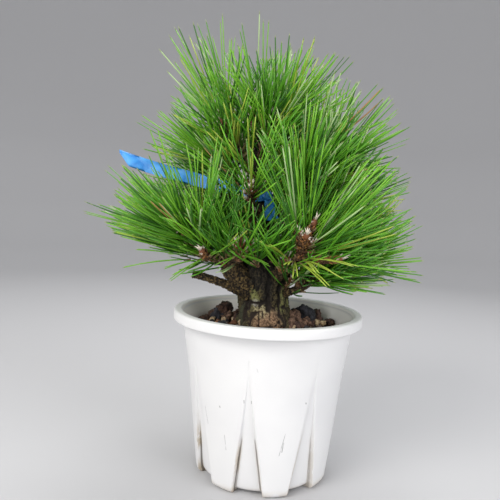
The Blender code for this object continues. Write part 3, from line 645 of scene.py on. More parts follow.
def stones_of(shape, rows, seed):
    """Copies of one stone for rows of grains, each turned, stretched and set in place."""
    dice = random.Random(seed)
    points, faces = shape
    made = []
    for place, size, tilt, _ in rows:
        turn = Matrix.Rotation(tilt[0], 3, "X") @ Matrix.Rotation(tilt[1], 3, "Y") @ Matrix.Rotation(tilt[2], 3, "Z")
        stretch = np.array([dice.uniform(0.75, 1.25), dice.uniform(0.7, 1.1), dice.uniform(0.6, 0.95)])
        made.append((points * stretch * size) @ np.array(turn).T + np.array(place))
    return np.array(made) * MM, faces


def join_parts(name, parts):
    """One mesh from several (points, faces) sets of copies."""
    bm = bmesh.new()
    for number, (points, faces) in enumerate(parts):
        mesh = joined_mesh(f"{name}_{number}", points, faces)
        bm.from_mesh(mesh)
        bpy.data.meshes.remove(mesh)
    return bm


SMALL_STONES = stone_shapes(1, 3, 3)
LARGE_STONES = stone_shapes(2, 3, 8)
grains = scattered_grains()
for name, dark, pale, _ in GRAIN_KINDS:
    mine = [row for row in grains if row[3] == name]
    parts = []
    for k in range(3):
        small = [row for row in mine[k::3] if row[1] < 2.2]
        large = [row for row in mine[k::3] if row[1] >= 2.2]
        if small:
            parts.append(stones_of(SMALL_STONES[k], small, 10 + k))
        if large:
            parts.append(stones_of(LARGE_STONES[k], large, 20 + k))
    set_down(name, join_parts(name, parts), crushed_stone(name + "_stone", dark, pale, 420.0),
             ["soil"], smooth=False)

# %% Lumps that stand out
Lump = namedtuple("Lump", "kind place size turn")
LUMPS = (
    Lump("block_brown", (-38.0, 20.0, 121.0), (7.6, 6.2, 8.2), 12), Lump("block_black", (30.5, 14.0, 121.5), (9.0, 6.4, 8.6), -28),
    Lump("block_red", (20.5, 2.0, 120.0), (6.8, 6.0, 7.8), 30), Lump("block_brown", (41.0, 20.0, 119.5), (5.4, 5.0, 6.4), 70),
    Lump("block_red", (18.0, -10.0, 117.5), (5.6, 5.2, 6.0), 15), Lump("block_tan", (46.0, 12.0, 117.6), (2.9, 2.4, 2.0), 40),
    Lump("block_red", (-33.0, 12.0, 117.8), (5.6, 4.6, 4.4), 50), Lump("block_tan", (40.5, 9.0, 118.0), (3.2, 2.4, 2.2), 5),
    Lump("block_brown", (52.0, 22.0, 116.0), (4.6, 4.2, 3.6), 80), Lump("block_red", (-26.5, 16.0, 119.0), (5.0, 4.6, 4.8), 22),
    Lump("block_brown", (-53.0, 17.0, 115.2), (4.4, 3.8, 3.2), 60), Lump("block_tan", (-46.0, 11.0, 116.0), (2.6, 2.4, 2.0), 14),
    Lump("block_red", (33.0, 4.0, 118.4), (4.4, 3.8, 4.0), 62), Lump("block_brown", (24.0, -11.0, 117.0), (4.6, 4.0, 4.2), 35),
    Lump("block_black", (-42.0, 15.0, 118.5), (5.0, 4.4, 5.6), 30), Lump("block_brown", (-47.0, 21.0, 117.0), (4.4, 4.0, 4.2), 64),
    Lump("block_red", (27.0, -2.0, 117.5), (4.6, 4.2, 4.4), 50), Lump("block_brown", (36.0, 7.0, 117.0), (3.4, 3.0, 3.2), 20),
    Lump("block_red", (5.0, 33.0, 118.0), (6.0, 5.0, 4.5), 33), Lump("block_brown", (-20.0, -30.0, 116.5), (6.0, 5.0, 4.5), 3),
    Lump("block_tan", (18.0, -34.0, 115.5), (5.0, 4.2, 3.6), 48), Lump("block_black", (-36.0, -14.0, 116.0), (5.5, 4.6, 4.2), 75),
    Lump("block_red", (40.0, -16.0, 115.5), (5.2, 4.6, 4.0), 9), Lump("block_brown", (-24.0, 4.0, 118.4), (3.8, 3.4, 4.0), 44),
)
LUMP_FINISHES = {
    "block_brown": ((0.014, 0.008, 0.007), (0.115, 0.060, 0.040)), "block_black": ((0.006, 0.006, 0.008), (0.042, 0.042, 0.052)),
    "block_red": ((0.040, 0.020, 0.013), (0.25, 0.145, 0.095)), "block_tan": ((0.26, 0.17, 0.08), (0.60, 0.47, 0.30)),
}


def lump_shape(lump, seed):
    """One big crumbly stone."""
    dice = random.Random(seed)
    bm = bmesh.new()
    bmesh.ops.create_icosphere(bm, subdivisions=4, radius=1.0)
    for _ in range(9):
        cut = Vector((dice.gauss(0, 1), dice.gauss(0, 1), dice.gauss(0, 1))).normalized()
        level = dice.uniform(0.62, 0.9)
        for vert in bm.verts:
            over = vert.co.dot(cut) - level
            if over > 0.0:
                vert.co -= cut * over * 0.95
    for vert in bm.verts:
        pits = noise.fractal(vert.co * 1.7 + Vector((seed, 1.0, 0.0)), 0.6, 2.1, 4)
        vert.co *= 1.0 + 0.34 * pits
    place = Matrix.Translation(Vector(lump.place) * MM) @ Matrix.Rotation(math.radians(lump.turn), 4, "Z")
    place @= Matrix.Diagonal((*(size * MM * 1.12 for size in lump.size), 1.0))
    bmesh.ops.transform(bm, matrix=place, verts=bm.verts)
    return bm


for kind, (dark, pale) in LUMP_FINISHES.items():
    joined = bmesh.new()
    for number, lump in enumerate(LUMPS):
        if lump.kind == kind:
            shape = lump_shape(lump, number)
            mesh = bpy.data.meshes.new("lump")
            shape.to_mesh(mesh)
            shape.free()
            joined.from_mesh(mesh)
            bpy.data.meshes.remove(mesh)
    set_down(kind, joined, crushed_stone(kind + "_stone", dark, pale, 330.0, 0.85), ["soil"])

# %% [markdown]
# ## The limbs of the tree
# The trunk is a stout bole that thins quickly into a leader, and the boughs leave it low and high.
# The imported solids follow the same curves, which are written again here from the same sizes. A
# limb starts as one cone whose upright edges are subdivided, and its points are then laid round
# the curve, each pushed out by the height of the bark there.
# %% Trunk and bough curves
TRUNK_FOOT = Vector((-3.0, -2.0, 112.3)) * MM
TRUNK_HEIGHT = 150.0 * MM
LEADER_LEAN = Vector((-10.5, -2.5, 0.0)) * MM
BOLE_RADIUS = 19.0
LEADER_BASE_RADIUS = 10.0
LEADER_TIP_RADIUS = 3.0
FORK_LOW = 36.0
FORK_HIGH = 80.0
ROOT_FLARE = 5.0
ROOT_FLARE_HEIGHT = 9.0
GAP = 0.3 * MM
Bough = namedtuple("Bough", "name height tip butt_radius tip_radius")
Mass = namedtuple("Mass", "name limb side hub azimuth elevation candle needle shoots")
BOUGHS = (
    Bough("bough_left", 141, (-31, -17, 166), 12.0, 8.0),
    Bough("bough_left_back", 161, (-47, -1, 169), 4.8, 3.2),
    Bough("bough_right", 154, (44, -4, 163), 6.0, 3.4),
    Bough("bough_low_right", 141, (24, -15, 149), 4.2, 2.8),
    Bough("bough_front_right", 153, (15, -27, 169), 6.5, 4.0),
    Bough("bough_back_left_low", 152, (-34, 27, 171), 5.0, 3.2),
    Bough("bough_back_low", 151, (-5, 36, 169), 5.8, 3.2),
    Bough("bough_back_right_low", 160, (28, 28, 172), 5.5, 3.2),
    Bough("bough_centre_front", 181, (-14, -16, 205), 3.6, 2.4),
    Bough("bough_centre_right", 190, (12, -8, 216), 3.2, 2.4),
    Bough("bough_mid_right", 174, (34, 7, 204), 4.6, 2.8),
    Bough("bough_mid_left", 200, (-32, 3, 234), 3.8, 2.6),
    Bough("bough_back_left_mid", 181, (-30, 19, 215), 4.2, 2.6),
    Bough("bough_back_right_mid", 187, (11, 24, 215), 4.0, 2.6),
    Bough("bough_right_shoulder", 200, (34, 9, 234), 3.4, 2.4),
    Bough("bough_right_crown", 208, (24, 3, 244), 3.0, 2.2),
    Bough("bough_upper_left", 232, (-31, -6, 257), 3.0, 2.0),
    Bough("bough_upper_right", 240, (-3, -2, 267), 2.8, 1.9),
    Bough("bough_upper_back", 226, (-8, 15, 250), 3.2, 2.1),
)
STUB_PATH = ((-23.0, -12.0, 145.0), (-36.0, -13.0, 150.0), (-48.0, -13.0, 153.5), (-60.0, -12.5, 156.0))
STUB_RADII = (3.7, 3.2, 2.9, 3.1)


def trunk_point(height):
    return TRUNK_FOOT + LEADER_LEAN * (height / TRUNK_HEIGHT) ** 1.5 + Vector((0.0, 0.0, height))


def trunk_radius(height):
    """Radius in mm at a height in mm above the foot."""
    leader = LEADER_BASE_RADIUS + (LEADER_TIP_RADIUS - LEADER_BASE_RADIUS) * height / (TRUNK_HEIGHT / MM)
    fade = float(smooth_rise(height, FORK_LOW, FORK_HIGH))
    return BOLE_RADIUS * (1.0 - fade) + leader * fade + ROOT_FLARE * math.exp(-height / ROOT_FLARE_HEIGHT)


def bough_path(bough):
    """The bough's centre line at four equal steps, as its solid has it."""
    start = trunk_point(bough.height * MM - TRUNK_FOOT.z)
    tip = Vector(bough.tip) * MM
    bend = start.lerp(tip, 0.6)
    bend.z = start.z + 0.25 * (tip.z - start.z)
    return [start.lerp(bend, k / 4).lerp(bend.lerp(tip, k / 4), k / 4) for k in range(5)]


def bough_radii(bough):
    return [bough.butt_radius + (bough.tip_radius - bough.butt_radius) * k / 4 for k in range(5)]


print("boughs:", len(BOUGHS))

# %% Bark relief


def between_fissures(place, size, width):
    """1 on the bark, 0 in a fissure: a fissure runs wherever a smooth noise passes nought."""
    return float(smooth_rise(abs(noise.noise(place / size)), 0.0, width))


def bark_height(place, size, stretch):
    """Height of the bark at a place in mm, about 0 to 1.3: scales, wandering fissures, crumble."""
    drawn = Vector((place.x, place.y, place.z / stretch))
    drawn += noise.noise_vector(drawn / size * 1.7) * size * 0.25
    broad = between_fissures(drawn, size, 0.17)
    small = between_fissures(drawn + Vector((31.0, 17.0, 5.0)), size * 0.5, 0.24)
    crumble = noise.fractal(drawn / size * 3.2, 0.7, 2.0, 4)
    return broad * 0.5 + small * 0.4 * (0.4 + 0.6 * broad) + 0.15 + crumble * 0.42


def knobbly_height(place, size):
    """Height of a young bough's bark: the small knobs that old needles have left."""
    near = noise.voronoi(place / size)[0]
    knob = float(smooth_rise(near[1] - near[0], 0.0, 0.7))
    return knob * 0.75 + 0.2 + noise.fractal(place / size * 1.4, 0.7, 2.0, 4) * 0.5


def limb(points, radii, sides, spacing, bark, guide=(0.0, 0.0, 1.0), cap=True):
    """Tapering limb round a smooth curve through points, with its relief kept as an attribute."""
    curve = smooth_curve(points, radii, spacing)
    rows = len(curve)
    bm = bmesh.new()
    bmesh.ops.create_cone(bm, cap_ends=cap, cap_tris=cap, segments=sides, radius1=1.0, radius2=1.0, depth=1.0)
    uprights = [edge for edge in bm.edges if abs(edge.verts[0].co.z - edge.verts[1].co.z) > 0.5]
    bmesh.ops.subdivide_edges(bm, edges=uprights, cuts=rows - 2)
    raised = bm.verts.layers.float.new("relief")
    for vert in bm.verts:
        row = round((vert.co.z + 0.5) * (rows - 1))
        centre, way, radius = curve[row]
        side = way.cross(Vector(guide)).normalized()
        other = side.cross(way)
        angle = math.atan2(vert.co.y, vert.co.x)
        outward = side * math.cos(angle) + other * math.sin(angle)
        if math.hypot(vert.co.x, vert.co.y) < 0.5:
            vert.co = centre * MM
            vert[raised] = 0.3
            continue
        swell, height, sink = bark(centre + outward * radius, angle, row / (rows - 1), radius)
        vert[raised] = height
        vert.co = (centre + outward * (radius * swell + sink)) * MM
    bmesh.ops.recalc_face_normals(bm, faces=bm.faces)
    return bm


def smooth_curve(points, radii, spacing):
    """Rows of (centre, direction, radius), all in mm, evenly along a smooth line through points."""
    knots = [Vector(point) for point in points]
    fine = []
    for k in range(len(knots) - 1):
        before = knots[max(k - 1, 0)]
        after = knots[min(k + 2, len(knots) - 1)]
        for j in range(12):
            t = j / 12.0
            a = knots[k] * 2.0
            b = (knots[k + 1] - before) * t
            c = (before * 2.0 - knots[k] * 5.0 + knots[k + 1] * 4.0 - after) * t * t
            d = (knots[k] * 3.0 - before - knots[k + 1] * 3.0 + after) * t ** 3
            fine.append(((a + b + c + d) * 0.5, radii[k] + (radii[k + 1] - radii[k]) * t))
    fine.append((knots[-1], radii[-1]))
    lengths = [0.0]
    for (one, _), (two, _) in zip(fine, fine[1:]):
        lengths.append(lengths[-1] + (two - one).length)
    rows = max(4, round(lengths[-1] / spacing))
    curve = []
    for row in range(rows + 1):
        target = lengths[-1] * row / rows
        k = min(max(np.searchsorted(lengths, target) - 1, 0), len(fine) - 2)
        share = (target - lengths[k]) / max(lengths[k + 1] - lengths[k], 1e-9)
        centre = fine[k][0].lerp(fine[k + 1][0], share)
        way = (fine[k + 1][0] - fine[k][0]).normalized()
        curve.append((centre, way, fine[k][1] + (fine[k + 1][1] - fine[k][1]) * share))
    return curve


# %% [markdown]
# ### Bark
# Black pine bark is dark in its fissures and grey-brown on its plates, and on this tree the plates carry olive and
# yellow-green lichen. The foot shows a swelling of flaky red-brown bark with a pale seam above it. The relief
# attribute paints the fissures near black, partly their own dark and partly painted shade, so colour and shape agree;
# the clefts and the crease at the front are painted near black as painted shade. Painted shade also darkens the
# trunk's top under the crown and some patches about the fork.
# %% Bark finish
FOOT_SWELLING = (-1.0, -20.0, 121.0)
SEAM = (-9.5, -20.0, 137.0)
LICHEN_SPOTS = ((-12.5, -20.0, 144.5, 5.5), (-9.5, -20.5, 140.5, 4.5), (12.5, -15.0, 143.0, 7.0), (16.0, -9.0, 136.0, 6.0),
                (10.0, -18.0, 134.0, 5.0), (16.0, 8.0, 138.0, 9.0), (-8.0, 18.0, 136.0, 10.0))
MOSS_SPOTS = ((-20.0, -13.0, 124.0, 11.0), (-17.0, -15.0, 133.0, 7.0), (6.0, -20.0, 128.0, 7.0))
# Patches of painted shade about the fork: place and radius in mm
PAINTED_SHADE_SPOTS = ((-0.5, -21.0, 141.0, 6.0), (-1.0, -21.0, 149.0, 7.0), (-17.0, -16.0, 147.0, 6.0), (-8.0, -20.0, 153.0, 8.0),
              (1.0, -20.0, 133.0, 3.5))


def near(finish, spot, inner, outer):
    """Mask that is 1 within the inner radius of a spot in mm, and 0 past the outer one."""
    place = finish.object_place()
    away = finish.node("VectorMath", {"operation": "DISTANCE"}, {0: place, 1: tuple(v * MM for v in spot)}, "Value")
    return away.step(outer * MM, inner * MM)


def pine_bark(name, fissure, plate, pale, depths=(0.15, 0.6), at_foot=False):
    finish = Finish(name)
    height = finish.node("Attribute", {"attribute_name": "relief"}, {}, "Fac")
    clouds = finish.noise(120.0, 4.0, 0.6)
    flecks = finish.noise(700.0, 4.0, 0.65)
    tones = finish.mix(flecks.step(0.38, 0.66), plate, pale)
    if at_foot:
        lichen = sum((near(finish, spot[:3], 0.35 * spot[3], spot[3]) for spot in LICHEN_SPOTS), clouds * 0.0)
        moss = sum((near(finish, spot[:3], 0.3 * spot[3], spot[3]) for spot in MOSS_SPOTS), clouds * 0.0)
        tones = finish.mix(moss.math("MINIMUM", moss * 0.8, 0.8), tones, finish.mix(flecks, (0.020, 0.024, 0.014), (0.085, 0.095, 0.055)))
        lichen = (lichen + clouds.step(0.55, 0.75) * 0.35) * flecks.step(0.34, 0.54)
        tones = finish.mix(lichen.math("MINIMUM", lichen * 0.85, 0.85), tones, finish.mix(flecks, (0.10, 0.105, 0.03), (0.36, 0.37, 0.13)))
        flaky = finish.mix(flecks.step(0.38, 0.60), (0.085, 0.045, 0.024), (0.34, 0.215, 0.125))
        tones = finish.mix(near(finish, FOOT_SWELLING, 9.0, 15.5), tones, flaky)
        seam = near(finish, (FOOT_SWELLING[0] - 4.0, FOOT_SWELLING[1] - 1.0, 131.5), 4.0, 9.0) * flecks.step(0.4, 0.6)
        tones = finish.mix(seam * 0.8, tones, (0.48, 0.42, 0.24))
        tones = finish.mix(near(finish, SEAM, 1.6, 4.5) * flecks.step(0.3, 0.5), tones, (0.42, 0.40, 0.36))
        _, _, z = finish.along()
        fissure = finish.mix(z.step(150.0, 125.0) * 0.7, fissure, (0.03, 0.018, 0.012))
        # Painted shade: near black over the trunk's top under the crown and in patches about the fork
        dark = sum((near(finish, spot[:3], 0.4 * spot[3], spot[3]) for spot in PAINTED_SHADE_SPOTS), clouds * 0.0)
        dark = dark.math("MINIMUM", dark + z.step(146.0, 160.0), 1.0)
        tones = finish.mix(dark * 0.9, tones, finish.mix(flecks.step(0.45, 0.62), (0.007, 0.006, 0.005), (0.050, 0.038, 0.022)))
    colour = finish.mix(height.step(*depths), fissure, tones)
    finish.feed(finish.shader, "Base Color", colour)
    finish.feed(finish.shader, "Roughness", 0.95 - clouds * 0.15)
    finish.relief(flecks, 1.2, 1.0)
    return finish.material


TRUNK_BARK = pine_bark("trunk_bark", (0.006, 0.004, 0.002), (0.024, 0.018, 0.008), (0.125, 0.098, 0.038), (0.38, 0.82), True)
BOUGH_BARK = pine_bark("bough_bark", (0.009, 0.005, 0.002), (0.045, 0.028, 0.010), (0.26, 0.175, 0.065), (0.15, 0.70))

# %% Trunk
# Deep clefts down the front, cut in and painted near black as painted shade: place across, half width, lower and upper
# end, in mm
GROOVES = ((-0.5, 1.9, 130.0, 166.0), (-17.0, 1.8, 122.0, 146.0), (8.0, 1.2, 126.0, 152.0))


def trunk_skin(place, angle, share, radius):
    """Swell, relief and lift of the trunk's bark at one of its points."""
    height = share * TRUNK_HEIGHT / MM
    swell = 1.0 + 0.10 * math.exp(-height / 18.0) * math.cos(5.0 * angle + 0.6)
    swell += 0.07 * noise.noise(Vector((math.cos(angle) * 1.3, math.sin(angle) * 1.3, height / 22.0)))
    size = 6.5 if height < 45.0 else 4.5
    bark = bark_height(place, size, 1.9)
    foot = math.exp(-((place - Vector(FOOT_SWELLING)).length / 11.0) ** 2)
    crease = math.exp(-((place.z - 137.2) / 1.0) ** 2) * float(smooth_rise(place.y, -8.0, -18.0) * smooth_rise(place.x, -1.0, -5.0))
    cut = max(math.exp(-((place.x - x - noise.noise(place * 0.2) * 1.5) / width) ** 2)
              * float(smooth_rise(place.z, low - 3.0, low + 3.0) * smooth_rise(place.z, high + 3.0, high - 3.0))
              for x, width, low, high in GROOVES) * float(smooth_rise(place.y, 0.0, -8.0))
    lift = (bark - 0.55) * min(2.3, radius * 0.13) + 3.6 * foot - 1.4 * crease - 2.2 * cut
    # The relief is lowered in the crease and the clefts, so the finish paints them near black as painted shade
    return swell, bark * (1.0 - 0.8 * crease) * (1.0 - 0.85 * cut), lift


heights = [150.0 * k / 30.0 for k in range(31)]
trunk_bm = limb([tuple(trunk_point(h * MM) / MM) for h in heights], [trunk_radius(h) for h in heights], 150, 0.95,
                trunk_skin, (1.0, 0.0, 0.0))
set_down("trunk_with_bark", trunk_bm, TRUNK_BARK, ["trunk"])

# %% Boughs


def bough_skin(start_swell):
    """Bark for a bough that swells where it leaves the trunk."""
    def skin(place, angle, share, radius):
        swell = 1.0 + start_swell * math.exp(-share * 4.0)
        bark = knobbly_height(place + noise.noise_vector(place * 0.25) * 1.5, 1.9 + radius * 0.09)
        return swell, bark, (bark - 0.5) * min(1.7, radius * 0.3)
    return skin


def add_limb(joined, bm):
    mesh = bpy.data.meshes.new("limb")
    bm.to_mesh(mesh)
    bm.free()
    joined.from_mesh(mesh)
    bpy.data.meshes.remove(mesh)


boughs_bm = bmesh.new()
boughs_bm.verts.layers.float.new("relief")
for bough in BOUGHS:
    path = [tuple(point / MM) for point in bough_path(bough)]
    sides = max(20, round(bough.butt_radius * 6.0))
    add_limb(boughs_bm, limb(path, bough_radii(bough), sides, 0.9, bough_skin(0.35)))
set_down("boughs_with_bark", boughs_bm, BOUGH_BARK, BOUGH_NODES)
stub_bm = limb(STUB_PATH, STUB_RADII, 26, 0.8, bough_skin(0.3))
set_down("pruned_stub_with_bark", stub_bm, BOUGH_BARK, ["pruned_stub"])

# %% [markdown]
# ## The marker tape
# A strip of thin blue plastic tape is tied round the leader. One end hangs short beside the knot, and the long one
# reaches out to the left through the needles. Flat grids bent along the same lines as the solid's, with a few creases,
# are given a thickness by bmesh's solidify.
# %% Tape
RIBBON_HEIGHT = 219.5
RIBBON_WIDTH = 10.5
TAPE_THICKNESS = 0.22


def knot_place():
    height = RIBBON_HEIGHT - TRUNK_FOOT.z / MM
    return trunk_point(height * MM) / MM + polar(trunk_radius(height) + 3.0, math.radians(-52.0), 0.0)


def tail_line(share):
    """Centre in mm and half width of the long tail at a share of its length."""
    full = RIBBON_WIDTH / 2.0 * min(1.0, 0.55 + 1.8 * share)
    half = full * min(1.0, 11.0 * (1.02 - share))
    place = Vector((-6.0 - 113.0 * share, 2.5 * math.sin(share * 1.4 * math.pi) + 8.0 * share,
                    24.5 * share + 3.0 * share ** 6 + 0.9 * (full - half)))
    return knot_place() + place, half


def end_line(share):
    return knot_place() + Vector((1.0 + 3.5 * share, -2.5 * share, -19.0 * share)), 3.0 + 2.6 * share


def strip(line, steps, across, crease, seed):
    """Flat strip along a line: a grid whose points are laid across it, with shallow creases."""
    bm = bmesh.new()
    bmesh.ops.create_grid(bm, x_segments=steps, y_segments=6, size=1.0)
    for vert in bm.verts:
        share = (vert.co.x + 1.0) / 2.0
        offset = vert.co.y
        centre, half = line(share)
        fold = noise.noise(Vector((share * 7.0, offset * 0.8, seed))) * crease
        fold += math.sin(share * 19.0 + offset * 1.5) * crease * 0.25
        vert.co = (centre + Vector(across) * half * offset + Vector((0.0, fold, 0.0))) * MM
    return bm


def tape():
    joined = strip(tail_line, 80, (0.0, 0.06, 1.0), 1.2, 2.0)
    add_limb(joined, strip(end_line, 20, (1.0, 0.1, 0.05), 0.9, 5.0))
    height = RIBBON_HEIGHT - TRUNK_FOOT.z / MM
    centre = trunk_point(height * MM) / MM
    band = bmesh.new()
    bmesh.ops.create_cone(band, cap_ends=False, segments=40, radius1=1.0, radius2=1.0, depth=7.4)
    uprights = [edge for edge in band.edges if abs(edge.verts[0].co.z - edge.verts[1].co.z) > 1.0]
    bmesh.ops.subdivide_edges(band, edges=uprights, cuts=5)
    for vert in band.verts:
        angle = math.atan2(vert.co.y, vert.co.x)
        reach = trunk_radius(height) + 1.3 + 0.25 * math.sin(vert.co.z * 1.7 + angle * 2.0)
        vert.co = (centre + polar(reach, angle, vert.co.z + 0.8 * math.sin(angle + 0.5))) * MM
    add_limb(joined, band)
    bmesh.ops.solidify(joined, geom=joined.faces[:], thickness=TAPE_THICKNESS * MM)
    knot = bmesh.new()
    bmesh.ops.create_uvsphere(knot, u_segments=20, v_segments=14, radius=1.0)
    for vert in knot.verts:
        vert.co *= 1.0 + 0.13 * math.sin(5.0 * math.atan2(vert.co.y, vert.co.z) + 3.0 * vert.co.x)
    place = Matrix.Translation(knot_place() * MM) @ Matrix.Diagonal((4.2 * MM, 2.6 * MM, 3.8 * MM, 1.0))
    bmesh.ops.transform(knot, matrix=place, verts=knot.verts)
    add_limb(joined, knot)
    bmesh.ops.recalc_face_normals(joined, faces=joined.faces)
    return joined


def blue_film():
    finish = Finish("blue_film", IOR=1.5)
    crinkle = finish.noise(160.0, 3.0, 0.5)
    threads = finish.noise(1400.0, 2.0, 0.6)
    colour = finish.mix(crinkle.step(0.3, 0.7), (0.018, 0.200, 0.62), (0.060, 0.36, 0.84))
    finish.feed(finish.shader, "Base Color", finish.mix(threads.step(0.6, 0.75) * 0.25, colour, (0.35, 0.60, 0.95)))
    finish.feed(finish.shader, "Roughness", crinkle * 0.25 + 0.28)
    finish.relief(crinkle, 1.2, 0.5)
    return finish.material


set_down("marker_tape", tape(), blue_film(), ["marker_ribbon"])

# %% [markdown]
# ## How a mass of needles grows
# Each bough's tip, and the leader's, carries one mass. A stem runs on from the tip to a hub, one
# candle, a new shoot, leads on from there, and others lean out round it. Pairs of needles stand
# all round a candle, wide apart at its foot and gathered at its tip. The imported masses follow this
# rule with few thick needles, and here it is carried on to finer twigs and thin ones.
# %% Masses, in mm and degrees as their solids have them
MASSES = (
    Mass("mass_low_left", "bough_left", (4, 0), (-45, -31, 172), 184, 55, 28, 74, 5),
    Mass("mass_inner_front", "bough_left", (-4, 1), (-23, -35, 170), 300, 80, 12, 62, 5),
    Mass("mass_low_left_back", "bough_left_back", (0, 0), (-57, -6, 173), 185, 20, 14, 70, 4),
    Mass("mass_low_right", "bough_right", (0, 0), (51, -7, 167), 345, 35, 12, 64, 5),
    Mass("mass_low_right_front", "bough_low_right", (0, 0), (32, -20, 156), 340, 20, 10, 60, 4),
    Mass("mass_front_right", "bough_front_right", (2, 1), (20, -38, 173), 320, 65, 28, 74, 5),
    Mass("mass_back_left_low", "bough_back_left_low", (0, 0), (-43, 33, 176), 140, 20, 16, 68, 4),
    Mass("mass_back_low", "bough_back_low", (0, 0), (-6, 45, 174), 95, 20, 16, 66, 4),
    Mass("mass_back_right_low", "bough_back_right_low", (0, 0), (35, 35, 176), 50, 25, 16, 68, 4),
    Mass("mass_centre_front", "bough_centre_front", (0, 0), (-16, -23, 214), 275, 60, 12, 64, 4),
    Mass("mass_centre_right", "bough_centre_right", (0, 0), (20, -11, 221), 320, 60, 14, 68, 4),
    Mass("mass_mid_right", "bough_mid_right", (0, 0), (43, 9, 209), 345, 35, 12, 66, 4),
    Mass("mass_mid_left", "bough_mid_left", (0, 0), (-38, 3, 241), 185, 45, 12, 70, 4),
    Mass("mass_back_left_mid", "bough_back_left_mid", (0, 0), (-37, 25, 221), 150, 25, 16, 68, 4),
    Mass("mass_back_right_mid", "bough_back_right_mid", (0, 0), (17, 31, 221), 80, 25, 16, 68, 4),
    Mass("mass_right_shoulder", "bough_right_shoulder", (0, 0), (41, 8, 241), 10, 45, 12, 70, 4),
    Mass("mass_right_crown", "bough_right_crown", (0, 0), (29, 4, 250), 10, 70, 12, 70, 4),
    Mass("mass_upper_left", "bough_upper_left", (0, 0), (-37, -6, 266), 185, 70, 12, 80, 4),
    Mass("mass_upper_right", "bough_upper_right", (0, 0), (0, -2, 270), 5, 70, 12, 74, 4),
    Mass("mass_upper_back", "bough_upper_back", (0, 0), (-8, 20, 256), 80, 65, 14, 72, 4),
    Mass("mass_leader", "trunk", (0, 0), (-14, -5, 267), 30, 80, 14, 76, 4),
)


TILT_AT_FOOT = 64.0
TILT_AT_TIP = 6.0
NEEDLE_LIFT = 0.38
SHOOT_LIFT = 0.2
STEEPEST_FALL = -0.25
LEAST_SPREAD = 0.22


def across(direction):
    """Two unit vectors square to a direction: one level, one in the upright plane."""
    level = direction.cross(UP)
    if level.length < 1e-4:
        level = Vector((1.0, 0.0, 0.0))
    level.normalize()
    return level, level.cross(direction).normalized()


def heading(azimuth, elevation):
    return polar(math.cos(math.radians(elevation)), math.radians(azimuth), math.sin(math.radians(elevation)))


def lean_from(direction, tilt, turn):
    level, upright = across(direction)
    side = level * math.cos(turn) + upright * math.sin(turn)
    return (direction * math.cos(tilt) + side * math.sin(tilt)).normalized()


def lifted(direction, share):
    """Direction turned towards the light, the more so the lower it points."""
    return (direction + UP * share * (1.0 - direction.z)).normalized()


def limb_tip(name):
    """End, direction and side vectors of the limb that carries a mass."""
    if name == "trunk":
        last = trunk_point(TRUNK_HEIGHT)
        before = last - UP
    else:
        path = bough_path(next(bough for bough in BOUGHS if bough.name == name))
        last, before = path[-1], path[-2]
    direction = (last - before).normalized()
    return (last, direction, *across(direction))


def mass_spine(mass):
    """Stem from the limb's tip to the hub, and on to the tip of the leading candle."""
    tip, direction, level, upright = limb_tip(mass.limb)
    root = tip + direction * GAP + level * mass.side[0] * MM + upright * mass.side[1] * MM
    hub = Vector(mass.hub) * MM
    knee = root + direction * (hub - root).length * 0.4
    return [root, knee, hub, hub + heading(mass.azimuth, mass.elevation) * mass.candle * MM]


def shoots_of(mass, dice):
    """Leading candle and the side candles round it, as (foot, tip) pairs."""
    _, _, hub, end = mass_spine(mass)
    lead = (end - hub).normalized()
    shoots = [(hub, end)]
    phase = dice.uniform(0.0, TURN)
    for k in range(mass.shoots - 1):
        tilt = math.radians(dice.uniform(34.0, 46.0))
        side = lean_from(lead, tilt, phase + TURN * k / (mass.shoots - 1) + dice.uniform(-0.3, 0.3))
        side = lifted(side, SHOOT_LIFT)
        foot = hub.lerp(end, 0.12 + 0.1 * k)
        shoots.append((foot, foot + side * mass.candle * MM * dice.uniform(0.7, 0.85)))
    return shoots


# %% [markdown]
# ### Finer twigs
# Between the main candles stand shorter ones, and along each stem and the outer part of each
# bough last year's needles are left. They fill the heart of the crown with shade.
# %% Shoots of every mass
Shoot = namedtuple("Shoot", "mass foot tip needle count kind stout", defaults=(1.0,))
GOLDEN = math.radians(137.508)
FULLER = 1.3
CANDLE_PAIRS = 8
PAIRS_PER_MM = 0.6
FULL_LOW = 1.2
FULL_HIGH = 0.34
INNER_TWIGS = (0.5, 0.72, 0.92)
LEADER_TUFTS = 14
STOUT = {"mass_front_right": 1.05, "mass_leader": 1.3, "mass_low_left": 1.2, "mass_inner_front": 1.3, "mass_centre_front": 0.7}


# Shoots seen at the top and low at the front: foot, tip, needle, pairs and kind
PLACED_SHOOTS = (
    ((-28.0, -8.0, 262.0), (-37.0, -9.0, 277.0), 80.0, 10, "plume"),
    ((2.0, -7.0, 262.0), (10.0, -8.0, 276.0), 78.0, 10, "plume"),
    ((9.0, -29.0, 163.0), (12.0, -35.0, 172.0), 52.0, 20, "candle"),
    ((-9.0, -30.0, 166.0), (-11.0, -34.0, 174.0), 56.0, 18, "twig"),
    ((2.0, -26.0, 170.0), (3.0, -31.0, 179.0), 56.0, 18, "twig"),
    ((-33.0, -33.0, 170.0), (-35.0, -37.0, 179.0), 62.0, 16, "twig"),
    ((-52.0, -24.0, 172.0), (-61.0, -26.0, 177.0), 66.0, 16, "candle"),
    ((-46.0, -34.0, 170.5), (-48.5, -44.0, 176.0), 58.0, 9, "candle"),
    ((27.0, -41.0, 171.5), (46.0, -54.0, 176.0), 56.0, 12, "candle"),
)


def nearest_mass(place):
    return min(range(len(MASSES)), key=lambda k: (Vector(MASSES[k].hub) - Vector(place)).length)


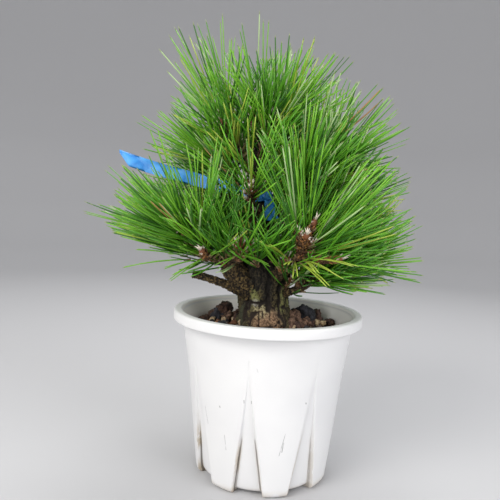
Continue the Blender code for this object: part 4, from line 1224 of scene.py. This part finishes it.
def finer_shoots(mass, shoots, dice):
    """Short twigs that lean out from the candles, by the same rule on a smaller scale."""
    made = []
    for number, (foot, tip) in enumerate(shoots[:3]):
        lead = (tip - foot).normalized()
        for k in range(2 if number == 0 else 1):
            side = lean_from(lead, math.radians(dice.uniform(28.0, 44.0)), dice.uniform(0.0, TURN))
            start = foot.lerp(tip, dice.uniform(0.15, 0.55))
            made.append((start, start + side * mass.candle * MM * dice.uniform(0.35, 0.5)))
    return made


def all_shoots():
    rows = []
    for index, mass in enumerate(MASSES):
        main = shoots_of(mass, random.Random(index))
        fine = finer_shoots(mass, main, random.Random(100 + index))
        for kind, group in (("candle", main), ("twig", fine)):
            for foot, tip in group:
                length = (tip - foot).length / MM
                fullness = FULL_LOW + (FULL_HIGH - FULL_LOW) * float(smooth_rise(mass.hub[2], 185.0, 262.0))
                count = round((CANDLE_PAIRS + length * PAIRS_PER_MM) * fullness * (1.0 if kind == "candle" else 0.7))
                stout = STOUT.get(mass.name, 1.0) if foot == main[0][0] else 1.0
                needle = mass.needle * (1.0 if kind == "candle" else 0.9)
                rows.append(Shoot(index, foot, tip, needle, count, kind, stout))
        root, knee, hub, _ = mass_spine(mass)
        rows.append(Shoot(index, root, hub, mass.needle * 0.72, 6, "old"))
    for bough in BOUGHS:
        path = bough_path(bough)
        owner = next(k for k, mass in enumerate(MASSES) if mass.limb == bough.name)
        rows.append(Shoot(owner, path[2], path[4], 40.0, 5, "old"))
        dice = random.Random(owner + 200)
        for share in INNER_TWIGS:
            step = min(int(share * 4.0), 3)
            start = path[step].lerp(path[step + 1], share * 4.0 - step)
            way = lifted((path[4] - path[3]).normalized(), 0.6)
            way = lean_from(way, math.radians(dice.uniform(20.0, 45.0)), dice.uniform(0.0, TURN))
            rows.append(Shoot(owner, start, start + way * dice.uniform(12.0, 18.0) * MM, 52.0, 9, "twig"))
    owner = len(MASSES) - 1
    rows.append(Shoot(owner, trunk_point(72.0 * MM), trunk_point(TRUNK_HEIGHT), 40.0, 20, "old"))
    dice = random.Random(300)
    for k in range(LEADER_TUFTS):
        height = 62.0 + 76.0 * k / (LEADER_TUFTS - 1)
        side = polar(1.0, GOLDEN * k - 1.2, 0.0)
        start = trunk_point(height * MM) + side * trunk_radius(height) * MM
        way = lifted(side, dice.uniform(0.5, 1.4))
        rows.append(Shoot(owner, start, start + way * dice.uniform(8.0, 13.0) * MM, 46.0, 8, "tuft"))
    for foot, tip, needle, count, kind in PLACED_SHOOTS:
        rows.append(Shoot(nearest_mass(foot), Vector(foot) * MM, Vector(tip) * MM, needle, count, kind))
    return rows


SHOOTS = all_shoots()
print("shoots:", len(SHOOTS), "pairs of needles planned:", sum(shoot.count for shoot in SHOOTS))

# %% [markdown]
# ### Keeping clear
# A needle can't pass through a limb or the tape, and it stays mostly in its own mass's space. The
# distance from points along every needle to every stretch of limb is worked out with arrays.
# %% Room for a needle
LOWEST_NEEDLE = 131.0 * MM
OVERLAP = 30.0 * MM


def segments_of(points, radii):
    return [(a, b, max(ra, rb)) for a, b, ra, rb in zip(points, points[1:], radii, radii[1:])]


def limb_segments():
    """Every stretch of limb and tape, as starts, ends and radii in metres."""
    heights = [TRUNK_HEIGHT * step / 14 for step in range(15)]
    rows = segments_of([trunk_point(h) for h in heights], [trunk_radius(h / MM) * MM for h in heights])
    for bough in BOUGHS:
        rows += segments_of(bough_path(bough), [radius * MM for radius in bough_radii(bough)])
    rows += segments_of([Vector(point) * MM for point in STUB_PATH], [radius * MM for radius in STUB_RADII])
    starts, ends, radii = zip(*rows)
    return np.array(starts), np.array(ends), np.array(radii)


def distances(points, starts, ends):
    """Distance from every point to every segment."""
    run = ends - starts
    length2 = np.maximum((run ** 2).sum(axis=1), 1e-12)
    share = np.clip((points @ run.T - (starts * run).sum(axis=1)[None]) / length2[None], 0.0, 1.0)
    gap2 = ((points ** 2).sum(axis=1)[:, None] + (starts ** 2).sum(axis=1)[None] - 2.0 * points @ starts.T)
    along = points @ run.T - (starts * run).sum(axis=1)[None]
    return np.sqrt(np.maximum(gap2 - 2.0 * share * along + share ** 2 * length2[None], 0.0))


LIMBS = limb_segments()
TAPE = np.array([tuple(tail_line(k / 40.0)[0] * MM) for k in range(41)]
                + [tuple(end_line(k / 6.0)[0] * MM) for k in range(7)])
SPINES = [np.array([tuple(point) for point in mass_spine(mass)]) for mass in MASSES]


def has_room(owners, starts, ends, radius):
    """Which needles stay clear of limbs and tape, above the pot, in the box and near their mass."""
    share = np.linspace(0.06, 1.0, 10)
    points = (starts[:, None] + (ends - starts)[:, None] * share[None, :, None]).reshape(-1, 3)
    limbs = (distances(points, LIMBS[0], LIMBS[1]) - LIMBS[2][None]).min(axis=1)
    clear = (limbs > radius + GAP) & (points[:, 2] > LOWEST_NEEDLE)
    low, high = (np.array(corner) for corner in CAD_BOX)
    clear &= ((points > low - 0.002) & (points < high + 0.002)).all(axis=1)
    tape = distances(points, TAPE[:40], TAPE[1:41]).min(axis=1)
    beside_tape = tape > 2.2 * MM
    own = np.empty(len(points))
    other = np.full(len(points), 1.0)
    owner_of = np.repeat(owners, len(share))
    for index, spine in enumerate(SPINES):
        gap = distances(points, spine[:-1], spine[1:]).min(axis=1)
        mine = owner_of == index
        own[mine] = gap[mine]
        other[~mine] = np.minimum(other[~mine], gap[~mine])
    clear &= other - own > -OVERLAP
    shape = (len(starts), len(share))
    return clear.reshape(shape).all(axis=1) & beside_tape.reshape(shape).all(axis=1)


print("stretches of limb:", len(LIMBS[0]))

# %% [markdown]
# ### Where the crown stands open
# Seen from the front, the crown opens on the tape, the leader's scaly stem and some buds. A
# needle that would cross in front of one of these is mostly left out: each opening is a line of
# points, the width that it clears, and the share of needles that still cross it. Notches in the
# crown's outline, where the sky shows, are openings on points well behind the tree.
# %% Openings
Opening = namedtuple("Opening", "points reach kept")


def line_of(first, last, steps=6):
    first, last = Vector(first), Vector(last)
    return [first.lerp(last, k / steps) for k in range(steps + 1)]


OPENINGS = (
    Opening([tail_line(k / 30.0)[0] for k in range(12, 31)], 4.5, 0.20),
    Opening([tail_line(k / 30.0)[0] for k in range(0, 4)] + [knot_place()], 4.5, 0.20),
    Opening([end_line(k / 6.0)[0] for k in range(7)], 4.5, 0.20),
    Opening(line_of((-12.0, -3.0, 246.0), (-13.5, -5.0, 262.0)), 2.5, 0.35),
    Opening(line_of((22.0, -40.0, 178.0), (28.5, -48.0, 202.0)), 4.5, 0.02),
    Opening(line_of((-47.0, -40.0, 171.0), (-49.0, -46.0, 181.0)), 5.0, 0.05),
    Opening(line_of((40.0, -50.0, 174.0), (48.0, -55.0, 178.0)), 4.0, 0.08),
    Opening(line_of((-23.0, -38.0, 173.0), (-22.0, -38.0, 182.0)), 4.5, 0.12),
    Opening(line_of((12.0, -35.0, 169.0), (12.0, -35.0, 173.0)), 3.0, 0.4),
    Opening(line_of((-133.0, 120.0, 348.0), (-136.0, 120.0, 328.0), 2), 17.0, 0.05),
    Opening([(80.0, 120.0, 357.0)], 8.5, 0.0),
    Opening([(125.0, 120.0, 281.0)], 8.0, 0.1),
    Opening([(155.0, 120.0, 233.0)], 13.0, 0.0),
    Opening([(161.0, 120.0, 192.0)], 11.0, 0.2),
    Opening([(-112.0, 120.0, 362.0)], 9.0, 0.1),
    Opening(line_of((-185.0, 120.0, 175.0), (-122.0, 120.0, 157.0), 5), 9.0, 0.0),
    Opening([(-200.0, 120.0, 224.0)], 7.0, 0.0),
    Opening(line_of((52.0, 120.0, 119.0), (64.0, 120.0, 121.0), 2), 6.5, 0.0),
)


def hides(roots, tips, opening):
    """Which needles pass between the eye and an opening's line."""
    share = np.linspace(0.0, 1.0, 24)
    points = roots[:, None] + (tips - roots)[:, None] * share[None, :, None]
    eye = np.array(EYE)
    ahead = -np.array(camera_turn().col[2])
    depths = (points - eye) @ ahead
    hidden = np.zeros(len(roots), dtype=bool)
    for point in opening.points:
        target = np.array(point) * MM - eye
        depth = target @ ahead
        shifted = (points - eye) * (depth / depths)[..., None] - target
        near_line = np.linalg.norm(shifted, axis=-1) < opening.reach * MM
        hidden |= (near_line & (depths < depth - 1.0 * MM)).any(axis=1)
    return hidden


def thinned(roots, tips):
    """Which needles stay once the openings are cleared."""
    dice = np.random.default_rng(17)
    stay = np.ones(len(roots), dtype=bool)
    for opening in OPENINGS:
        stay &= ~hides(roots, tips, opening) | (dice.random(len(roots)) < opening.kept)
    return stay


print("openings:", len(OPENINGS))

# %% Needle roots, ways and lengths
CANDLE_RADIUS = 2.3
CANDLE_TIP_RADIUS = 1.5
PLUME_TILT = 0.5
BRIGHT_ABOVE = 215.0 * MM
SHADES = ("bright", "mid", "deep", "yellow", "pale", "brown")
# Shares of each shade, by kind of shoot: first for those high in the light, then for the low ones. The pale needles
# are painted highlights, so the high ones get more of them, and the low ones more deep green as painted shade
SHADE_SHARES = {
    "candle": ((0.46, 0.30, 0.10, 0.02, 0.115, 0.005), (0.36, 0.43, 0.155, 0.01, 0.04, 0.005)),
    "plume": ((0.50, 0.20, 0.10, 0.02, 0.18, 0.0), (0.40, 0.25, 0.15, 0.02, 0.18, 0.0)),
    "twig": ((0.30, 0.42, 0.20, 0.03, 0.045, 0.005), (0.20, 0.44, 0.32, 0.02, 0.015, 0.005)),
    "tuft": ((0.34, 0.24, 0.08, 0.32, 0.015, 0.005), (0.26, 0.34, 0.12, 0.26, 0.015, 0.005)),
    "old": ((0.05, 0.24, 0.38, 0.27, 0.02, 0.04), (0.05, 0.28, 0.45, 0.16, 0.02, 0.04)),
}


def needle_rows():
    """Arrays of every needle: its mass, root, tip, side vector, bow and shade."""
    owners, roots, tips, sides, bows, shades = [], [], [], [], [], []
    for number, shoot in enumerate(SHOOTS):
        dice = random.Random(900 + number)
        lead = (shoot.tip - shoot.foot).normalized()
        level, upright = across(lead)
        phase = dice.uniform(0.0, TURN)
        # Painted light: high shoots take the mixture with more pale highlights, low ones the darker mixture as painted
        # shade
        mixture = SHADE_SHARES[shoot.kind][0 if shoot.tip.z > BRIGHT_ABOVE else 1]
        pairs = round(shoot.count * FULLER)
        for k in range(pairs):
            share = ((k + 0.5) / pairs) ** 0.9
            turn = phase + GOLDEN * k
            outward = level * math.cos(turn) + upright * math.sin(turn)
            if shoot.kind == "old":
                tilt = math.radians(dice.uniform(50.0, 84.0))
                radius = 2.0 if shoot.needle != 40.0 else 4.0
            else:
                tilt = TILT_AT_TIP + (TILT_AT_FOOT - TILT_AT_TIP) * (1.0 - share) ** 0.6
                tilt = math.radians(tilt * (PLUME_TILT if shoot.kind == "plume" else 1.0) + dice.gauss(0.0, 8.0))
                radius = CANDLE_RADIUS + (CANDLE_TIP_RADIUS - CANDLE_RADIUS) * share
            way = lifted(lead * math.cos(tilt) + outward * math.sin(tilt), NEEDLE_LIFT)
            way = (way + outward * max(0.0, LEAST_SPREAD - way.dot(outward))).normalized()
            if way.z < STEEPEST_FALL:
                continue
            start = shoot.foot.lerp(shoot.tip, share) + outward * radius * MM * 0.8
            reach = shoot.needle * MM * (0.86 + 0.14 * share) * dice.triangular(0.72, 1.1, 1.0)
            spread = math.radians(dice.uniform(1.5, 4.5))
            apart = way.cross(outward).normalized()
            apart = (apart * math.cos(dice.uniform(0.0, 3.0)) + way.cross(apart) * math.sin(dice.uniform(0.0, 3.0))).normalized()
            shade = dice.choices(range(len(SHADES)), mixture)[0]
            for sign in (-1.0, 1.0):
                arm = (way * math.cos(spread) + apart * sign * math.sin(spread)).normalized()
                owners.append(shoot.mass)
                roots.append(start + apart * sign * 0.35 * MM)
                tips.append(start + arm * reach * dice.uniform(0.94, 1.0))
                sides.append(apart)
                droop = dice.uniform(-0.02, 0.045) + (0.04 if shoot.kind == "old" else 0.0)
                bows.append(outward * droop * reach - UP * dice.uniform(0.0, 0.02) * reach)
                shades.append(shade)
    return [np.array(rows) for rows in (owners, roots, tips, sides, bows, shades)]


# Needles that hang low or stand out at the front: root and tip in mm
HANGING = (
    ((-60, -31, 169), (-109, -36, 161)), ((-63, -28, 171), (-101, -30, 173)), ((-47, -33, 172), (-72, -45, 153)),
    ((-47, -33, 171), (-69, -48, 158)), ((-50, -32, 170), (-77, -42, 161)), ((-45, -35, 173), (-35, -60, 178)),
    ((18, -40, 172), (18, -74, 162)), ((25, -42, 173), (31, -84, 168)), ((24, -44, 173), (44, -96, 166)),
    ((22, -44, 171), (37, -88, 159)), ((16, -42, 172), (10, -78, 170)), ((12, -35, 171), (-10, -55, 185)),
    ((15, -36, 171), (-2, -60, 184)), ((56, -8, 171), (92, -14, 154)), ((54, -8, 164), (75, -18, 153)),
    ((52, -8, 166), (69, -20, 156)), ((24, -44, 174), (54, -88, 173)), ((33, -38, 175), (63, -34, 167)),
    ((-22, -38, 175), (0, -52, 169)), ((-25, -38, 174), (-38, -50, 166)), ((-44, -34, 176), (-62, -109, 196)),
    ((40, -44, 182), (49, -112, 203)),
)


def hanging_rows():
    """The same arrays for the hanging needles, bowed so that they rise before they fall."""
    dice = random.Random(55)
    owners, roots, tips, sides, bows, shades = [], [], [], [], [], []
    for first, last in HANGING:
        root, tip = Vector(first) * MM, Vector(last) * MM
        aside = (tip - root).cross(UP).normalized()
        for k in range(2):
            owners.append(nearest_mass(first))
            roots.append(root + aside * dice.uniform(-0.5, 0.5) * MM)
            tips.append(tip + aside * (k - 0.5) * dice.uniform(1.0, 6.0) * MM + UP * dice.uniform(-2.0, 2.0) * MM)
            sides.append(aside)
            bows.append(UP * dice.uniform(0.03, 0.09) * (tip - root).length)
            shades.append(SHADES.index("yellow" if root.x > 0.0 and last[2] < 190 else "bright"))
    return [np.array(rows) for rows in (owners, roots, tips, sides, bows, shades)]


grown = needle_rows()
hanging = hanging_rows()
room = np.concatenate((has_room(*grown[:3], 0.7 * MM) & thinned(*grown[1:3]), has_room(*hanging[:3], 0.5 * MM)))
owners, roots, tips, sides, bows, shades = (np.concatenate(both) for both in zip(grown, hanging))
print("needles grown:", len(room), "kept:", int(room.sum()))
roots, tips, sides, bows, shades = (rows[room] for rows in (roots, tips, sides, bows, shades))

# %% [markdown]
# ### One needle, many times
# A needle is half round in section. A thin three-sided cone with a few rings is enough, bowed a
# little by moving its rings. Its last millimetres are a second cone, paler, as on the tree.
# %% Needle meshes
NEEDLE_WIDTH = 1.5
NEEDLE_THICKNESS = 0.95
# pale is a painted highlight on the needles; the other colours are the needles' own greens, yellows and browns
NEEDLE_COLOURS = {
    "bright": (0.170, 0.430, 0.026), "mid": (0.088, 0.290, 0.017), "deep": (0.039, 0.150, 0.013),
    "yellow": (0.360, 0.470, 0.060), "pale": (0.370, 0.520, 0.230), "brown": (0.380, 0.210, 0.070),
}
TIP_SHARE = 0.035


def needle_template():
    """Three-sided rod of length 1 with rings that narrow towards its end."""
    bm = bmesh.new()
    bmesh.ops.create_cone(bm, cap_ends=True, segments=3, radius1=0.5, radius2=0.5, depth=1.0,
                          matrix=Matrix.Translation((0.0, 0.0, 0.5)))
    uprights = [edge for edge in bm.edges if abs(edge.verts[0].co.z - edge.verts[1].co.z) > 0.5]
    bmesh.ops.subdivide_edges(bm, edges=uprights, cuts=3)
    return template(bm)


def tip_template():
    """Three-sided spike of length 1."""
    bm = bmesh.new()
    bmesh.ops.create_cone(bm, cap_ends=True, segments=3, radius1=0.5, radius2=0.0, depth=1.0,
                          matrix=Matrix.Translation((0.0, 0.0, 0.5)))
    return template(bm)


def bent_copies(shape, roots, tips, sides, bows, low, high, widths):
    """Copies of a rod along stretches of bowed lines: low and high are shares of each line."""
    points, faces = shape
    run = tips - roots
    way = unit(run)
    side = unit(sides - way * (sides * way).sum(axis=1, keepdims=True))
    other = np.cross(way, side)
    share = low + (high - low) * points[:, 2]
    width = np.interp(share, *widths)
    centre = roots[:, None] + run[:, None] * share[None, :, None]
    centre = centre + bows[:, None] * (4.0 * share * (1.0 - share) * 0.6 + share ** 2 * 0.4)[None, :, None]
    spread = side[:, None] * (points[:, 1] * width * NEEDLE_WIDTH * MM)[None, :, None]
    spread = spread + other[:, None] * (points[:, 0] * width * NEEDLE_THICKNESS * MM)[None, :, None]
    return centre + spread, faces


NEEDLE_WIDTHS = ((0.0, 0.1, 0.5, 0.85, 1.0 - TIP_SHARE, 1.0), (0.8, 0.95, 1.0, 0.92, 0.62, 0.08))
ROD = needle_template()
TIP = tip_template()
MOST_TRIANGLES = 190000


def leaf_gloss(name, colour, roughness=0.42):
    finish = Finish(name, Base_Color=(*colour, 1.0), Roughness=roughness)
    finish.shader.inputs["Specular IOR Level"].default_value = 0.38
    finish.shader.inputs["Subsurface Weight"].default_value = 0.0
    return finish.material


for number, shade in enumerate(SHADES):
    mine = shades == number
    points, faces = bent_copies(ROD, roots[mine], tips[mine], sides[mine], bows[mine], 0.0, 1.0 - TIP_SHARE, NEEDLE_WIDTHS)
    material = leaf_gloss(f"needle_{shade}", NEEDLE_COLOURS[shade])
    most = MOST_TRIANGLES // len(faces)
    for part in range(0, len(points), most):
        name = f"needles_{shade}_{part // most + 1}"
        set_down(name, joined_mesh(name, points[part:part + most], faces), material, MASS_NODES)
points, faces = bent_copies(TIP, roots, tips, sides, bows, 1.0 - TIP_SHARE - 0.004, 1.0, NEEDLE_WIDTHS)
set_down("needle_tips", joined_mesh("needle_tips", points, faces), leaf_gloss("needle_tip_straw", (0.32, 0.40, 0.12)),
         MASS_NODES)

# %% [markdown]
# ### Candles, sheaths and buds
# The needles of a pair share a short grey-brown sheath at their root. The candles are covered in
# small orange-brown scales, and each ends in a red-brown bud with cream papery points. They show
# wherever a fan of needles opens, so they are worth their few faces each.
# %% Candles and stems


def candle_skin(place, angle, share, radius):
    scales = math.sin(angle * 3.0 + share * 40.0) * math.sin(angle * 3.0 - share * 40.0)
    rough = noise.noise(place * 0.9)
    return 1.0, 0.5 + 0.4 * scales + 0.3 * rough, 0.32 * scales + 0.3 * rough


def stem_path(mass):
    root, knee, hub, _ = mass_spine(mass)
    tip, direction, _, _ = limb_tip(mass.limb)
    return [tuple(point / MM) for point in (root - direction * 1.5 * MM, knee, hub)]


stems_bm = bmesh.new()
stems_bm.verts.layers.float.new("relief")
for mass in MASSES:
    tip_radius = next((bough.tip_radius for bough in BOUGHS if bough.name == mass.limb), LEADER_TIP_RADIUS)
    if mass.limb == "bough_left":
        tip_radius = 3.6
    add_limb(stems_bm, limb(stem_path(mass), (tip_radius * 0.95, 2.5, 2.3), 18, 0.9, bough_skin(0.0)))
set_down("stems_of_masses", stems_bm, BOUGH_BARK, MASS_NODES)
candles_bm = bmesh.new()
candles_bm.verts.layers.float.new("relief")
for shoot in SHOOTS:
    if shoot.kind != "old":
        guide = (0.0, 0.0, 1.0) if abs((shoot.tip - shoot.foot).normalized().z) < 0.95 else (1.0, 0.0, 0.0)
        path = [tuple(point / MM) for point in (shoot.foot, shoot.foot.lerp(shoot.tip, 0.5), shoot.tip)]
        scale = shoot.stout if shoot.kind == "candle" else 0.8
        add_limb(candles_bm, limb(path, (2.2 * scale, 1.9 * scale, 1.4 * scale), 10, 1.1, candle_skin, guide))
CANDLE_BARK = pine_bark("candle_scales", (0.030, 0.014, 0.008), (0.16, 0.075, 0.032), (0.34, 0.20, 0.10))
set_down("candles", candles_bm, CANDLE_BARK, MASS_NODES)

# %% Scales on the candles
SCALE_ROW = 2.0
SCALES_ROUND = 5


def scale_rows():
    """Foot, way and size of every scale, in a spiral up each candle: the orange ones, then the dark."""
    dice = random.Random(31)
    rows = ([], [])
    for shoot in SHOOTS:
        if shoot.kind != "candle":
            continue
        run = shoot.tip - shoot.foot
        lead = run.normalized()
        level, upright = across(lead)
        count = round(run.length / MM / SCALE_ROW * SCALES_ROUND)
        for k in range(count):
            share = (k + 0.5) / count
            turn = GOLDEN * k
            outward = level * math.cos(turn) + upright * math.sin(turn)
            radius = (2.1 - 0.7 * share) * shoot.stout
            lean = math.radians(dice.uniform(12.0, 34.0))
            way = lead * math.cos(lean) + outward * math.sin(lean)
            row = (shoot.foot + run * share + outward * radius * MM, way, shoot.stout * dice.uniform(0.8, 1.2))
            rows[0 if dice.random() < 0.15 + 0.65 * share else 1].append(row)
    return rows


def set_along(shape, places, ways, dice, radius, length):
    """Copies of an upright shape set along ways from places, sizes in mm per copy."""
    one, two = frames(ways, dice)
    points = ways[:, None] * (shape[:, 2][None, :] * length[:, None])[..., None]
    points = points + one[:, None] * (shape[:, 0][None, :] * radius[:, None])[..., None]
    points = points + two[:, None] * (shape[:, 1][None, :] * radius[:, None])[..., None]
    return places[:, None] + points * MM


def spiked(name, rows, width, length, material, seed):
    """Many small spikes joined into one piece: rows of place, way and size."""
    places = np.array([tuple(row[0]) for row in rows])
    ways = np.array([tuple(row[1]) for row in rows])
    sizes = np.array([row[2] for row in rows])
    shape, faces = TIP
    points = set_along(shape, places, ways, random.Random(seed), sizes * width, sizes * length)
    set_down(name, joined_mesh(name, points, faces), material, MASS_NODES)


orange_scales, dark_scales = scale_rows()
spiked("candle_scales_orange", orange_scales, 2.2, 3.4, leaf_gloss("scale_orange", (0.37, 0.165, 0.055), 0.75), 41)
spiked("candle_scales_dark", dark_scales, 2.3, 3.2, leaf_gloss("scale_dark", (0.10, 0.048, 0.026), 0.8), 42)

# %% Sheaths
pair_roots = roots[::2]
pair_ways = unit(tips[::2] - pair_roots)
side_a, side_b = frames(pair_ways, random.Random(77))
sheath_bm = bmesh.new()
bmesh.ops.create_cone(sheath_bm, cap_ends=True, segments=5, radius1=0.85, radius2=0.68, depth=1.0,
                      matrix=Matrix.Translation((0.0, 0.0, 0.5)))
shape, faces = template(sheath_bm)
points = pair_roots[:, None] + pair_ways[:, None] * (shape[:, 2] * 5.5 - 1.0)[None, :, None] * MM
points = points + side_a[:, None] * shape[:, 0][None, :, None] * MM + side_b[:, None] * shape[:, 1][None, :, None] * MM
set_down("needle_sheaths", joined_mesh("needle_sheaths", points, faces),
         leaf_gloss("sheath_grey_brown", (0.26, 0.185, 0.095), 0.7), MASS_NODES)

# %% Buds
BUD_HEIGHT = 7.0
BUD_RADIUS = 2.5


def bud_template():
    """Pointed egg of length 1 and radius 1 from a sphere."""
    bm = bmesh.new()
    bmesh.ops.create_uvsphere(bm, u_segments=10, v_segments=8, radius=1.0)
    for vert in bm.verts:
        height = (vert.co.z + 1.0) / 2.0
        swell = math.sin(math.pi * height ** 0.75) * 0.9 + 0.12 * (1.0 - height)
        ring = math.hypot(vert.co.x, vert.co.y)
        scale = swell / ring if ring > 1e-6 else 0.0
        bump = 1.0 + 0.12 * math.cos(5.0 * math.atan2(vert.co.y, vert.co.x) + height * 14.0)
        vert.co = Vector((vert.co.x * scale * bump, vert.co.y * scale * bump, height))
    return template(bm)


BUDS = [(shoot.tip, (shoot.tip - shoot.foot).normalized(), shoot.stout if shoot.kind == "candle" else 0.7)
        for shoot in SHOOTS if shoot.kind in ("candle", "twig")]
dice = random.Random(12)
bud_rows = []
for tip, way, size in BUDS:
    bud_rows.append((tip, way, size))
    for k in range(3):
        side = lean_from(way, math.radians(dice.uniform(28.0, 42.0)), TURN * k / 3.0 + dice.uniform(-0.4, 0.4))
        bud_rows.append((tip - way * 1.2 * MM, side, size * dice.uniform(0.5, 0.75)))
places = np.array([tuple(row[0]) for row in bud_rows])
ways = np.array([tuple(row[1]) for row in bud_rows])
sizes = np.array([row[2] for row in bud_rows])
shape, faces = bud_template()
points = set_along(shape, places - ways * MM, ways, random.Random(5), sizes * BUD_RADIUS, sizes * BUD_HEIGHT)
set_down("winter_buds", joined_mesh("winter_buds", points, faces),
         leaf_gloss("bud_red_brown", (0.21, 0.075, 0.035), 0.6), MASS_NODES)

# %% Papery points on the buds
spikes = []
for place, way, size in bud_rows:
    for k in range(5):
        lean = lean_from(way, math.radians(dice.uniform(4.0, 30.0)), dice.uniform(0.0, TURN))
        spikes.append((place + way * BUD_HEIGHT * 0.62 * size * MM, lean, size))
spiked("bud_points", spikes, 2.3, 6.4, leaf_gloss("bud_point_cream", (0.74, 0.66, 0.56), 0.75), 6)

# %% [markdown]
# ## Last: the box of the solids
# The corners of the solids' box are printed, in mm.
# %% Sizes and finish
print("solids", [[round(v / MM, 1) for v in corner] for corner in CAD_BOX])
